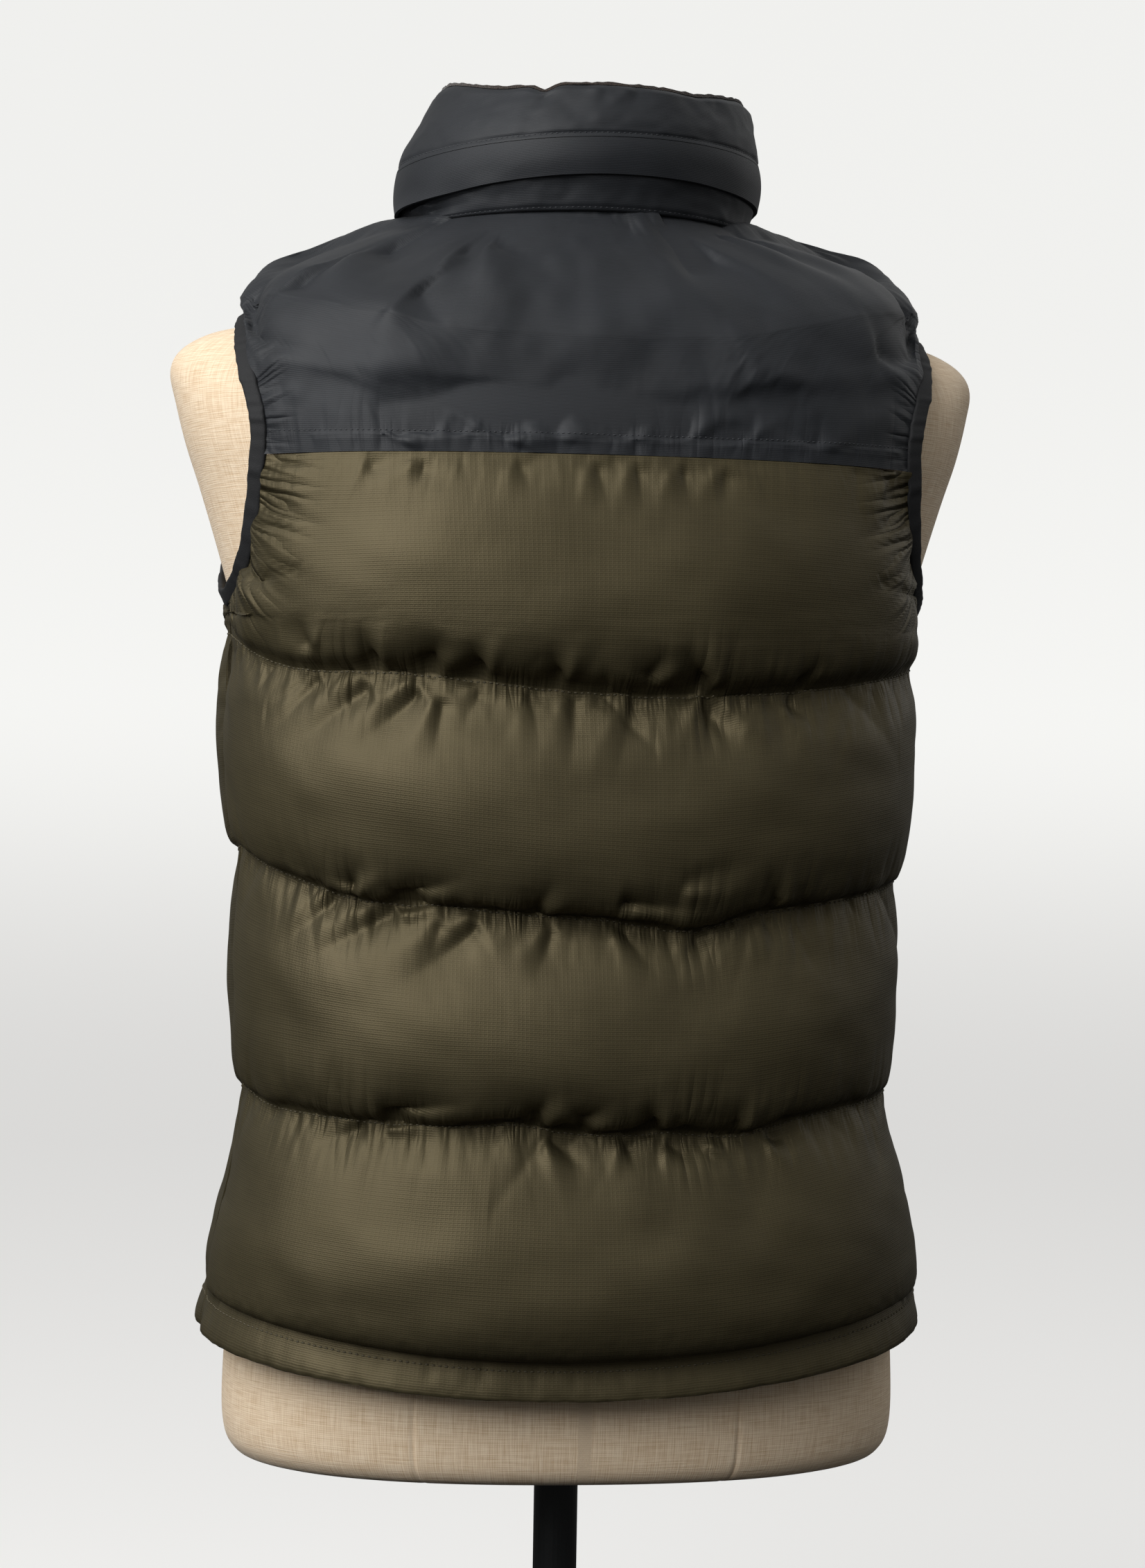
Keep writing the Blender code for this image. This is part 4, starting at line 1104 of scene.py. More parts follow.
def simple_cloth(name, lit, shade_share, scale, bump, distance, roughness, **constants):
    """Make a fine irregular surface on Object coordinates: fibres, thread, tape, plastic or metal.

    One noise gives the tone, the gloss and the relief together. The colour is mixed towards
    its shade share where the relief is low, so the hollows hold painted shade, on surfaces
    from matt fibres to satin metal by the roughness.
    """
    material, node, feed_shader = new_material(name, **constants)
    place = node("TexCoord").outputs["Object"]
    grain = node("TexNoise", {"Vector": place, "Scale": scale, "Detail": 4.0})
    tone = node("MapRange", {0: grain, 1: 0.35, 2: 0.65})
    # Painted shade: the colour darkens towards its shade share in the low places of the grain, the relief's
    # hollows
    shade = node("Mix", {0: tone, 6: dimmed(lit, shade_share), 7: dimmed(lit)}, data_type="RGBA")
    gloss = node("MapRange", {0: grain, 1: 0.3, 2: 0.7, 3: roughness - 0.05, 4: roughness + 0.05})
    relief = node("Bump", {"Height": grain, "Strength": bump, "Distance": distance})
    feed_shader(Base_Color=shade.outputs[2], Roughness=gloss, Normal=relief)
    return material


def linen_cloth(name, lit, deep, pitch):
    """Make coarse natural linen: crossed yarns of uneven thickness, matt and dry.

    The crossed waves give the eye a plain weave of about a millimetre, and the stretched
    noises its slubs. The colour runs from the deep one to the lit one with the weave's
    height and the slubs: painted shade in the hollows between the yarns, and the slubs'
    own uneven tone.
    """
    material, node, feed_shader = new_material(name, Roughness=0.9, Sheen_Weight=0.15,
                                               Sheen_Roughness=0.5)
    place = node("UVMap", uv_map="cloth")
    wobble = node("TexNoise", {"Vector": place, "Scale": 120.0, "Detail": 2.0})
    shift = node("VectorMath", {0: wobble.outputs["Color"], 1: (0.5, 0.5, 0.5)}, operation="SUBTRACT")
    moved = node("VectorMath", {0: shift, 1: (0.0008, 0.0008, 0.0), 2: place}, operation="MULTIPLY_ADD")
    split = node("SeparateXYZ", {0: moved})
    waves = []
    for axis in (0, 1):
        turn = node("Math", {0: split.outputs[axis], 1: math.pi / pitch}, operation="MULTIPLY")
        wave = node("Math", {0: turn}, operation="SINE")
        waves.append(wave)
    checker = node("Math", {0: waves[0], 1: waves[1]}, operation="MULTIPLY")
    over = node("Math", {0: checker}, operation="ABSOLUTE")
    height = node("Math", {0: over, 1: 0.5}, operation="POWER")
    slubs = []
    for scale in ((55.0, 1100.0, 1.0), (1100.0, 55.0, 1.0)):
        stretch = node("Mapping", {"Vector": place, "Scale": scale})
        slub = node("TexNoise", {"Vector": stretch, "Scale": 1.0})
        slubs.append(slub)
    both = node("Math", {0: slubs[0], 1: slubs[1]}, operation="ADD")
    blend = node("Math", {0: height, 1: 0.45, 2: both}, operation="MULTIPLY_ADD")
    tone = node("MapRange", {0: blend, 1: 0.85, 2: 1.55})
    # Painted shade between the yarns: low places of the weave take the deep colour, and the slubs add the
    # yarn's own uneven tone
    shade = node("Mix", {0: tone, 6: dimmed(deep), 7: dimmed(lit)}, data_type="RGBA")
    relief = node("Bump", {"Height": blend, "Strength": 0.5, "Distance": 0.0003})
    feed_shader(Base_Color=shade.outputs[2], Normal=relief)
    return material


def studio_paint(name, base, low, high):
    """Make matt studio paint that glows a little, more so up the curved wall, so it stays even."""
    material, node, feed_shader = new_material(name, Base_Color=dimmed(base), Roughness=0.9,
                                               Emission_Strength=0.80)
    place = node("TexCoord").outputs["Object"]
    split = node("SeparateXYZ", {0: place})
    rise = node("MapRange", {0: split.outputs[2], 1: 0.0, 2: 0.9}, interpolation_type="SMOOTHSTEP")
    glow = node("Mix", {0: rise, 6: dimmed(low), 7: dimmed(high)}, data_type="RGBA")
    feed_shader(Emission_Color=glow.outputs[2])
    return material


# One row for each direction of creases that a cloth's relief shows: the line they start from,
# their pitch, reach and depth, and how much of them stays between the deepest patches
Pucker = namedtuple("Pucker", "line pitch reach depth least")
RIPSTOP_PUCKERS = (
    Pucker("seam", 0.0050, 0.016, 0.0009, 0.15),
    Pucker("seam", 0.0160, 0.045, 0.0020, 0.05),
    Pucker("armhole", 0.0085, 0.055, 0.0042, 0.7),
)
NYLON_PUCKERS = (
    Pucker("seam", 0.0050, 0.012, 0.0003, 0.15),
    Pucker("seam", 0.0140, 0.035, 0.0008, 0.05),
    Pucker("armhole", 0.0085, 0.028, 0.0016, 0.5),
)

# The plain finishes: colour, name, how dark the painted shade in the hollows is, fineness of
# the grain, strength and depth of its relief, roughness, and the shader's other constants
Plain = namedtuple("Plain", "colour name shade grain bump depth roughness constants")
PLAIN_FINISHES = (
    Plain("lining", "black_taffeta_lining", 0.7, 900.0, 0.2, 0.0002, 0.5, {}),
    Plain("pile", "brown_pile_fabric", 0.25, 1400.0, 0.9, 0.001, 0.95, {"Sheen_Weight": 0.4}),
    Plain("olive_thread", "olive_polyester_thread", 0.5, 3000.0, 0.4, 0.0002, 0.6, {}),
    Plain("black_thread", "black_polyester_thread", 0.5, 3000.0, 0.4, 0.0002, 0.6, {}),
    Plain("binding", "black_elastic_tape", 0.5, 2200.0, 0.6, 0.0003, 0.75, {}),
    Plain("tape", "woven_zip_tape", 0.5, 2400.0, 0.6, 0.0003, 0.8, {}),
    Plain("teeth", "moulded_zip_teeth", 0.8, 800.0, 0.05, 0.0001, 0.4, {}),
    Plain("metal", "blackened_zinc", 0.6, 700.0, 0.05, 0.0001, 0.35, {"Metallic": 0.9}),
    Plain("steel", "powder_coated_steel", 0.7, 1500.0, 0.15, 0.0001, 0.35, {}),
)

MATERIALS = {}


def finishes(colours):
    """Make every finish once and keep it by name."""
    if MATERIALS:
        return MATERIALS
    MATERIALS["ripstop"] = woven_cloth("satin_ripstop_nylon", colours.olive, 0.0011, 0.0022, 0.22, 0.52,
                                       RIPSTOP_PUCKERS, Specular_Tint=linear("E3D0A6"),
                                       Specular_IOR_Level=0.8, IOR=1.5)
    MATERIALS["nylon"] = woven_cloth("ribbed_charcoal_nylon", colours.charcoal, 0.0009, 0.0, 0.18, 0.60,
                                     NYLON_PUCKERS, Specular_IOR_Level=0.38, Sheen_Weight=0.05)
    for row in PLAIN_FINISHES:
        MATERIALS[row.colour] = simple_cloth(row.name, getattr(colours, row.colour), *row[2:-1],
                                             **row.constants)
    MATERIALS["linen"] = linen_cloth("coarse_natural_linen", colours.linen, colours.linen_shade, 0.0011)
    MATERIALS["floor"] = studio_paint("painted_studio_floor", colours.floor, colours.glow_low,
                                      colours.glow_high)
    return MATERIALS


# ---------------------------------------------------------------- settings
def number(name, description, default, **more):
    """Declare one number."""
    return bpy.props.FloatProperty(name=name, description=description, default=default, **more)


def length(name, description, default):
    """Declare one size in metres."""
    return number(name, description, default, unit="LENGTH", precision=4)


def turned(name, description, degrees):
    """Declare one angle, given in degrees."""
    return number(name, description, math.radians(degrees), subtype="ANGLE")


class VestSizes(bpy.types.PropertyGroup):
    """Sizes of the vest's quilting and stitching."""

    fullness: number("Fullness", "How far the cloth is cut to the fullest girth", 0.05, subtype="FACTOR")
    slack: number("Slack", "Extra cloth between two seams of the body", 0.03, subtype="FACTOR")
    yoke_slack: number("Yoke slack", "Extra cloth between the yoke's seams", 0.010, subtype="FACTOR")
    pressure: number("Pressure", "Pressure of the body's filling", 10.0)
    yoke_pressure: number("Yoke pressure", "Pressure of the yoke's filling", 5.0)
    gravity: number("Weight", "Share of gravity on the filled cloth", 0.15)
    stiffness: number("Stiffness", "Resistance to stretch", 15.0)
    shear: number("Shear", "Resistance to shear", 5.0)
    bending: number("Bending", "Resistance to bending", 0.5)
    mass: number("Mass", "Mass of each point of cloth", 0.15)
    quality: bpy.props.IntProperty(name="Quality", description="Steps in each moment", default=6)
    frames: bpy.props.IntProperty(name="Moments", description="How long the cloth settles", default=25)
    easing: bpy.props.IntProperty(name="Easing", description="Passes that ease out fine ripples", default=2)
    cap: length("Cap", "How far the filling may move the cloth", 0.016)
    gather: length("Gather", "Depth of the shortest gathers at a seam", 0.0013)
    fold: number("Folds", "Share of the body folds' depths", 1.2)
    yoke_fold: number("Yoke folds", "Share of the yoke folds' depths", 1.2)
    shoulder: length("Shoulder", "Depth of the filling on the shoulders", 0.034)
    hem_fold: length("Yoke hem", "Height of the yoke's turned-up hem", 0.0085)
    hem_lip: length("Yoke lip", "How far the yoke's hem stands proud", 0.0006)
    stitch: length("Stitch", "Length of one stitch of the quilting", 0.0026)
    stitch_gap: length("Stitch gap", "Gap between two stitches of the quilting", 0.0009)
    thread: length("Thread", "Thickness of the quilting thread", 0.0010)
    top_stitch: length("Topstitch", "Length of one topstitch", 0.0020)
    top_gap: length("Topstitch gap", "Gap between two topstitches", 0.0011)
    top_thread: length("Topstitch thread", "Thickness of the topstitching thread", 0.0006)


def colour(name, description, code):
    """Declare one colour by its sRGB hex code."""
    return bpy.props.FloatVectorProperty(name=name, description=description, default=linear(code)[:3],
                                         size=3, min=0.0, max=1.0, subtype="COLOR")


class VestColours(bpy.types.PropertyGroup):
    """Colours of the cloth, the thread, the metal and the floor."""

    olive: colour("Olive cloth", "Quilted body", "3A3525")
    olive_thread: colour("Olive thread", "Stitches of the quilting", "574F39")
    charcoal: colour("Charcoal cloth", "Yoke and collar", "1F2227")
    black_thread: colour("Black thread", "Topstitching", "33353A")
    lining: colour("Lining", "Inner face of the body", "201D1B")
    pile: colour("Pile", "Lining of the collar", "3F3229")
    binding: colour("Binding", "Tape round the armholes", "121316")
    tape: colour("Zip tape", "Tapes of the zip", "202125")
    teeth: colour("Zip teeth", "Teeth of the zip", "1A1B1D")
    metal: colour("Metal", "Slider and pull tab", "38393B")
    linen: colour("Linen", "Cover of the form", "F2DEC2")
    # The linen's shade colour is painted shade, laid in the hollows between its yarns
    linen_shade: colour("Linen shade", "Hollows between the linen's yarns", "CFB08B")
    steel: colour("Steel", "Stand", "191B1C")
    floor: colour("Floor", "Floor and wall of the studio", "B4B4B2")
    glow_low: colour("Glow below", "Glow of the floor", "D0CFCE")
    glow_high: colour("Glow above", "Glow high on the wall", "F8F8F6")


class StageSizes(bpy.types.PropertyGroup):
    """Camera and light of the stage."""

    distance: length("Camera distance", "From the form's axis to the camera", 1.8)
    eye: length("Eye level", "Height of the camera", 0.678)
    lens: number("Lens", "Focal length", 72.5, unit="CAMERA")
    turn: turned("Turn", "Camera's place round from the back", 6.0)
    lean: turned("Lean", "Roll of the camera", 0.965)
    key_turn: turned("Key turn", "Large light's place round from the back", 48.0)
    key_rise: turned("Key rise", "Large light's angle above level", 32.0)
    key_size: length("Key size", "Width and height of each light", 2.2)
    side_turn: turned("Side turn", "Second light's place round from the back", -110.0)
    side: number("Side light", "Power of the second light", 7.0, min=0.0, unit="POWER")
    key: number("Key light", "Power of the large soft light", 75.0, min=0.0, unit="POWER")
    fill: number("Fill", "Strength of the light from all round", 0.22, min=0.0)


# ---------------------------------------------------------------- quilted panels
BODY_LEVELS = np.concatenate([
    np.linspace(HEM_EDGE, HEM_STITCH, 13),
    channel_levels(HEM_STITCH, SEAM_C, 57)[1:],
    channel_levels(SEAM_C, SEAM_B, 57)[1:],
    channel_levels(SEAM_B, SEAM_A, 57)[1:],
    np.linspace(SEAM_A, ARMPIT, 17)[1:],
    oval_levels(ARMPIT, YOKE_HEM, 37)[1:],
])
YOKE_LEVELS = np.concatenate([
    YOKE_HEM + np.linspace(0.0, 0.25, 15),
    oval_levels(YOKE_HEM + 0.25, SHOULDER_EDGE, 34)[1:],
    channel_levels(SHOULDER_EDGE, NECK_SEAM, 30)[1:],
])
# The body's levels away from its armholes, where rows stay even
BODY_EVEN = np.concatenate([BODY_LEVELS[BODY_LEVELS <= SEAM_A], np.linspace(SEAM_A, YOKE_HEM, 53)[1:]])
YOKE_STITCH_ROW = 13
BACK_COLUMNS = 433
FRONT_COLUMNS = 161


def pucker_places(level, angle, stitched):
    """Give the place along the nearest stitched line, the distance from it, and the same two
    for the armhole's edge.
    """
    girth, rise = cloth_place(level, angle)
    distance, along_armhole = armhole_distance(vest_points(level, angle))
    away = np.abs(rise[..., None] - stitched).min(axis=-1)
    return np.stack([girth, away, along_armhole, distance], -1)


def add_panel(node, edges, columns, levels, even, surface, filling, stitched, settings, seed,
              material, slot):
    """Make one quilted panel between two edge angles, each given for every level.

    Rows follow the edge's own levels at both edges and even levels in the middle.
    Stitched lists the heights on the cut cloth at which it is sewn through.
    """
    across = np.linspace(0.0, 1.0, columns)[None, :]
    first, last = edges[0][:, None], edges[1][:, None]
    angle = first + (last - first) * across
    level = even[:, None] + (levels - even)[:, None] * np.abs(2 * across - 1) ** 5
    outer = surface(level, angle, settings, seed)
    inner = lining_surface(level, angle, filling)
    uv = np.concatenate([np.stack(cloth_place(level, angle), -1),
                         pucker_places(level, angle, stitched)], -1)
    piece = add_wall(f"{node}_quilt", trim_edges(outer), trim_edges(inner), uv,
                     [material, MATERIALS["lining"]])
    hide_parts(node)
    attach(piece, VEST_BODY)
    return outer


def add_panels(part, levels, *cut, settings, seed, material, slot):
    """Make the back and the two fronts of the body or of the yoke, and give their outer faces."""
    back_edge = seam_edge(levels, -ARMHOLE_BACK_REACH)
    front_edge = seam_edge(levels, ARMHOLE_FRONT_REACH)
    closing = zip_edge(VEST_RINGS, levels)
    rows = ((f"back_{part}", (-back_edge, back_edge), BACK_COLUMNS),
            (f"front_{part}_left", (front_edge, closing), FRONT_COLUMNS),
            (f"front_{part}_right", (-closing, -front_edge), FRONT_COLUMNS))
    return [add_panel(node, edges, columns, levels, *cut, settings, seed + 100 * place, material, slot)
            for place, (node, edges, columns) in enumerate(rows)]


class VEST_OT_body(bpy.types.Operator):
    """Build the quilted olive body, back and both fronts, with its channels' stitches"""

    bl_idname = "object.add_vest_body"
    bl_label = "Vest body"

    def execute(self, context):
        made = finishes(context.scene.vest_colours)
        sizes = context.scene.vest_sizes
        stitched = cloth_place(CHANNELS[1:-1, 1], 0.0)[1]
        faces = add_panels("body", BODY_LEVELS, BODY_EVEN, body_surface, body_filling, stitched,
                           settings=sizes, seed=11, material=made["ripstop"], slot="olive_ripstop")
        below_seams = np.flatnonzero(np.isin(BODY_LEVELS, (HEM_STITCH, SEAM_C, SEAM_B, SEAM_A))) - 1
        lines = [row_line(outer, row) for outer in faces for row in below_seams]
        add_stitches("seam_stitches_olive", lines, sizes.stitch, sizes.stitch_gap, sizes.thread,
                     made["olive_thread"], "olive_ripstop")
        return {"FINISHED"}


class VEST_OT_yoke(bpy.types.Operator):
    """Build the padded charcoal yoke, back and both fronts, with its hem's topstitching"""

    bl_idname = "object.add_vest_yoke"
    bl_label = "Vest yoke"

    def execute(self, context):
        made = finishes(context.scene.vest_colours)
        sizes = context.scene.vest_sizes
        stitched = np.array([cloth_place(YOKE_HEM, 0.0)[1] + sizes.hem_fold])
        faces = add_panels("yoke", YOKE_LEVELS, YOKE_LEVELS, yoke_surface, yoke_filling, stitched,
                           settings=sizes, seed=1011, material=made["nylon"], slot="charcoal_nylon")
        add_stitches("yoke_stitches_black", [row_line(outer, YOKE_STITCH_ROW) for outer in faces],
                     sizes.top_stitch, sizes.top_gap, sizes.top_thread, made["black_thread"],
                     "charcoal_nylon")
        return {"FINISHED"}


# ---------------------------------------------------------------- collar
# Bumps and dips of the collar's top edge: place round from the back's middle, rise, half width
TopWave = namedtuple("TopWave", "angle rise width")
TOP_EDGE = (
    TopWave(0.40, -0.0034, 0.07),
    TopWave(0.72, -0.0030, 0.28),
    TopWave(-0.05, 0.0014, 0.35),
    TopWave(-0.62, -0.0014, 0.14),
    TopWave(1.30, 0.0015, 0.20),
    TopWave(-1.15, 0.0010, 0.15),
    TopWave(2.10, -0.0020, 0.30),
    TopWave(-2.30, 0.0020, 0.25),
)
COLLAR_COLUMNS = 361

# The place round the collar where the flap's left end curls, and half the curl's width
FLAP_END, FLAP_CURL = 1.25, 0.30


def collar_grid(start, end, rows):
    """Give levels and angles of a collar band, open at the zip."""
    levels = np.linspace(start, end, rows)
    closing = zip_edge(COLLAR_RINGS, np.minimum(levels, COLLAR_TOP))[:, None]
    angle = closing * np.linspace(-1.0, 1.0, COLLAR_COLUMNS)[None, :]
    return np.repeat(levels[:, None], COLLAR_COLUMNS, axis=1), angle


def collar_points(level, angle, out):
    """Stand a collar band's face out from the worn collar's outer face, level with the floor.

    Above the flap's seam the collar leans to one side, and its top edge waves: each wave is
    rise * exp(-(turn / width)^2), growing with the square of the height above the seam.
    """
    face = shell_points(WORN_COLLAR, level, angle)
    normal = shell_normals(WORN_COLLAR, level, angle)
    normal[..., 2] = 0.0
    above = np.clip(level - FLAP_SEAM, 0.0, 1.0)
    face[..., 0] -= COLLAR_LEAN * ease(above)
    for wave in TOP_EDGE:
        face[..., 2] += wave.rise * np.exp(-((angle - wave.angle) / wave.width) ** 2) * above**2
    return face + unit(normal) * np.asarray(out)[..., None]


def flap_end(angle):
    """Rise to 1 round the place where the flap's left end curls away from the collar."""
    return np.exp(-((angle - FLAP_END) / FLAP_CURL) ** 2)


def collar_creases(level, angle, seed):
    """Press the collar's folds and a soft unevenness into its outer face."""
    height = shell_points(WORN_COLLAR, level, angle)[..., 2] - FORM_HEIGHT
    girth = angle * COLLAR_RADIUS
    return (folds(girth, height, COLLAR_FOLDS) + 0.0007 * noise(girth / 0.017, height / 0.012, seed)
            + 0.0003 * noise(girth / 0.006, height / 0.005, seed + 1))


def lower_outer(level, angle):
    """Let the lower band in under the flap, by the flap's thickness and stand-off.

    That depth is reached at 0.8 of the band's height. It goes in by up to 3 mm more behind
    the flap's left end, by 0.8 mm at its topstitch and by 1.4 mm at its lower edge.
    """
    fraction = np.clip(level / FLAP_EDGE, 0.0, 1.0)
    under = (FLAP_THICKNESS + FLAP_STAND_OFF) * ease(fraction / 0.8)
    hollow = 0.0030 * flap_end(angle) * np.sin(math.pi * fraction)
    uneven = collar_creases(level, angle, 31) * np.where(level < FLAP_EDGE, 1.0, 0.0)
    stitched = 0.0008 * np.exp(-((fraction - 0.14) / 0.08) ** 2)
    edge = 0.0014 * (1 - ease(fraction / 0.10))
    return -under - hollow + uneven - stitched - edge


def upper_outer(level, angle):
    """Round the upper panel: it stands out 1.2 mm within a third of its height.

    It goes in by 0.7 mm at its topstitch, and by up to 3 mm over its top edge.
    """
    fraction = (level - FLAP_SEAM) / (COLLAR_TOP - FLAP_SEAM)
    edge = 0.0030 * np.maximum(fraction - 0.86, 0.0) / 0.14 * fraction**6
    stitched = 0.0007 * np.exp(-((fraction - 0.09) / 0.03) ** 2)
    return (0.0012 * ease(fraction / 0.35) - edge - stitched
            + ease(fraction / 0.15) * collar_creases(level, angle, 32))


def flap_outer(level, angle):
    """Hang the flap flat; its left end curls out by 4 mm times the square of the way down."""
    down = FLAP_SEAM - level
    curl = 0.0040 * flap_end(angle) * down**2
    return curl + 0.0006 * down * noise(angle * 5, level * 2, 33)


def add_collar_piece(name, node, angle, outer, inner, material):
    """Make one band of the collar from its two faces."""
    uv = np.stack([angle * COLLAR_RADIUS, 0.7 + running_length(outer, 0)], -1)
    piece = add_wall(name, trim_edges(outer), trim_edges(inner), uv, [material, material])
    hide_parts(node)
    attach(piece, VEST_BODY)
    return piece


def add_pile_lining(material):
    """Line the collar with pile that wraps over its top edge, where single fibres stand up."""
    level, angle = collar_grid(COLLAR_BASE, COLLAR_TOP + PILE_WRAP, 57)
    over = np.clip((level - COLLAR_TOP) / PILE_WRAP, 0.0, 1.0)
    level = np.minimum(level, COLLAR_TOP)
    depth = -COLLAR_PADDING - GAP + (COLLAR_PADDING - 0.001) * ease(over)
    under = collar_points(level, angle, depth)
    under[..., 2] += GAP * np.minimum(over * 8, 1.0)
    pile = collar_points(level, angle, depth - LINING_THICKNESS * np.cos(over * math.pi / 2))
    fibres = 0.0006 * noise(angle * COLLAR_RADIUS / 0.0022, over * 9, 34)
    pile[..., 2] += (GAP + 0.0014 + fibres) * np.sin(np.minimum(over * 3, 1.0) * math.pi / 2)
    piece = add_collar_piece("collar_lining_pile", "collar_lining", angle, under, pile, material)


class VEST_OT_collar(bpy.types.Operator):
    """Build the stand collar: lower band, flap, upper panel and pile lining"""

    bl_idname = "object.add_vest_collar"
    bl_label = "Vest collar"

    def execute(self, context):
        made = finishes(context.scene.vest_colours)
        sizes = context.scene.vest_sizes
        faces = {}
        for name, node, start, end, rows, outer_depth, inner_depth in (
                ("collar_lower_band_padded", "collar_lower_band", COLLAR_BASE, FLAP_SEAM, 41,
                 lower_outer, -COLLAR_PADDING),
                ("collar_upper_panel_padded", "collar_upper_panel", FLAP_SEAM, COLLAR_TOP, 45,
                 upper_outer, -COLLAR_PADDING),
                ("collar_flap_cloth", "collar_flap", FLAP_EDGE, FLAP_SEAM, 21, flap_outer, None)):
            grid = collar_grid(start, end, rows)
            depth = outer_depth(*grid)
            faces[node] = collar_points(*grid, depth)
            inner = collar_points(*grid, depth - FLAP_THICKNESS if inner_depth is None
                                  else np.full(depth.shape, inner_depth))
            piece = add_collar_piece(name, node, grid[1], faces[node], inner, made["nylon"])
        add_pile_lining(made["pile"])
        lines = [row_line(faces["collar_lower_band"], 3), row_line(faces["collar_upper_panel"], 4)]
        add_stitches("collar_stitches_black", lines, sizes.top_stitch, sizes.top_gap, sizes.top_thread,
                     made["black_thread"], "charcoal_nylon")
        return {"FINISHED"}


# ---------------------------------------------------------------- binding and zip
# Puckers round each radian of the armhole, how far the binding leans out from the body, and
# how far it reaches past the cloth's edge
BINDING_PUCKERS = 20
BINDING_FLARE = 1.1
BINDING_OVERLAP = 0.0015


def binding_rings():
    """Give the rings of the left armhole's binding, each one a rounded oblong round the edge.

    An oblong is sign(cos) |cos|^0.5 across the cloth and sign(sin) |sin|^0.6 through it.
    Noise along the edge swells it by a tenth and lifts it by 0.6 mm.
    """
    turn = np.linspace(0.0, 2 * math.pi, 560, endpoint=False)
    level, angle = armhole_oval(turn)
    edge = shell_points(VEST_RINGS, level, angle)
    inward = unit(shell_points(VEST_RINGS, *armhole_oval(turn, 0.9)) - edge)
    normal = shell_normals(VEST_RINGS, level, angle)
    around = np.linspace(0.0, 2 * math.pi, 20, endpoint=False)
    wide = np.sign(np.cos(around)) * np.abs(np.cos(around)) ** 0.5
    tall = np.sign(np.sin(around)) * np.abs(np.sin(around)) ** 0.6
    inward = unit(inward + BINDING_FLARE * np.abs(inward[:, 1:2]) * (1.0, 0.0, 0.0))
    normal = unit(normal - inward * np.sum(normal * inward, -1, keepdims=True))
    middle = (BINDING_WIDTH - BINDING_OVERLAP) / 2
    reach = (BINDING_WIDTH + BINDING_OVERLAP) / 2
    puckers = noise(turn * BINDING_PUCKERS, 0.5, 77)[:, None]
    swell = 1 + 0.10 * noise(turn * BINDING_PUCKERS, 3.5, 77)[:, None]
    return (edge[:, None] + inward[:, None] * (middle + reach * (wide[None, :] * swell))[..., None]
            + normal[:, None] * (tall[None, :] * BINDING_THICKNESS / 2 + 0.0006 * puckers)[..., None])


class VEST_OT_bindings(bpy.types.Operator):
    """Bind both armholes with folded elastic tape, which puckers every few millimetres"""

    bl_idname = "object.add_armhole_bindings"
    bl_label = "Armhole bindings"

    def execute(self, context):
        made = finishes(context.scene.vest_colours)
        rings = binding_rings()
        for side, sign in (("left", 1), ("right", -1)):
            mirrored = rings * (sign, 1, 1)
            ordered = mirrored if sign > 0 else mirrored[:, ::-1]
            piece = add_tube(f"armhole_tape_{side}", ordered, [made["binding"]])
            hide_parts(f"armhole_binding_{side}")
            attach(piece, VEST_BODY)
        return {"FINISHED"}


# Pitch of the teeth, how far the tapes' inner edges stay apart, and the step along the tapes
ZIP_PITCH = 0.0024
TAPE_INNER_EDGE = 0.0010
TAPE_STEP = 0.0035
TAPE_TOP = NECK_SEAM + COLLAR_TOP - 0.05


def front_line(top_level, pitch):
    """Follow the middle of the front from the hem up to a level of the collar, in even steps.

    It gives the points and their outward directions.
    """
    body = np.linspace(HEM_EDGE, min(top_level, NECK_SEAM), 121)
    points = shell_points(VEST_RINGS, body, math.pi)
    if top_level > NECK_SEAM:
        collar = shell_points(COLLAR_RINGS, np.linspace(0.5, top_level - NECK_SEAM, 31), math.pi)
        points = np.concatenate([points, collar])
    points[:, 0] = 0.0
    run = running_length(points, 0)
    at = np.arange(0.0, run[-1], pitch)
    points = np.stack([np.interp(at, run, points[:, i]) for i in range(3)], -1)
    ahead = unit(np.gradient(points, axis=0))
    return points, np.stack([np.zeros(len(at)), -ahead[:, 2], ahead[:, 1]], -1)


def add_zip_tapes(material):
    """Lay a woven tape each side of the middle, with a cord along its inner edge."""
    points, out = front_line(TAPE_TOP, TAPE_STEP)
    points, out = (part[:len(part) // 2 * 2 - 1] for part in (points, out))
    inner, outer = TAPE_INNER_EDGE, ZIP_HALF_WIDTH - GAP / 2
    for side, limits in (("left", (outer, inner)), ("right", (-inner, -outer))):
        across = np.linspace(*limits, 9)
        rows = points[:, None] + np.stack([across, 0 * across, 0 * across], -1)[None]
        cord = 0.0004 * np.exp(-((np.abs(across) - inner - 0.0006) / 0.0006) ** 2)[None, :, None]
        face = rows + out[:, None] * (TAPE_THICKNESS / 2 + cord)
        back = rows - out[:, None] * TAPE_THICKNESS / 2
        uv = np.stack(np.meshgrid(np.arange(len(points)) * TAPE_STEP, across, indexing="ij")[::-1], -1)
        piece = add_wall(f"zip_tape_{side}_woven", face, back, uv, [material, material])
        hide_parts(f"zip_tape_{side}")
        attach(piece, VEST_BODY)


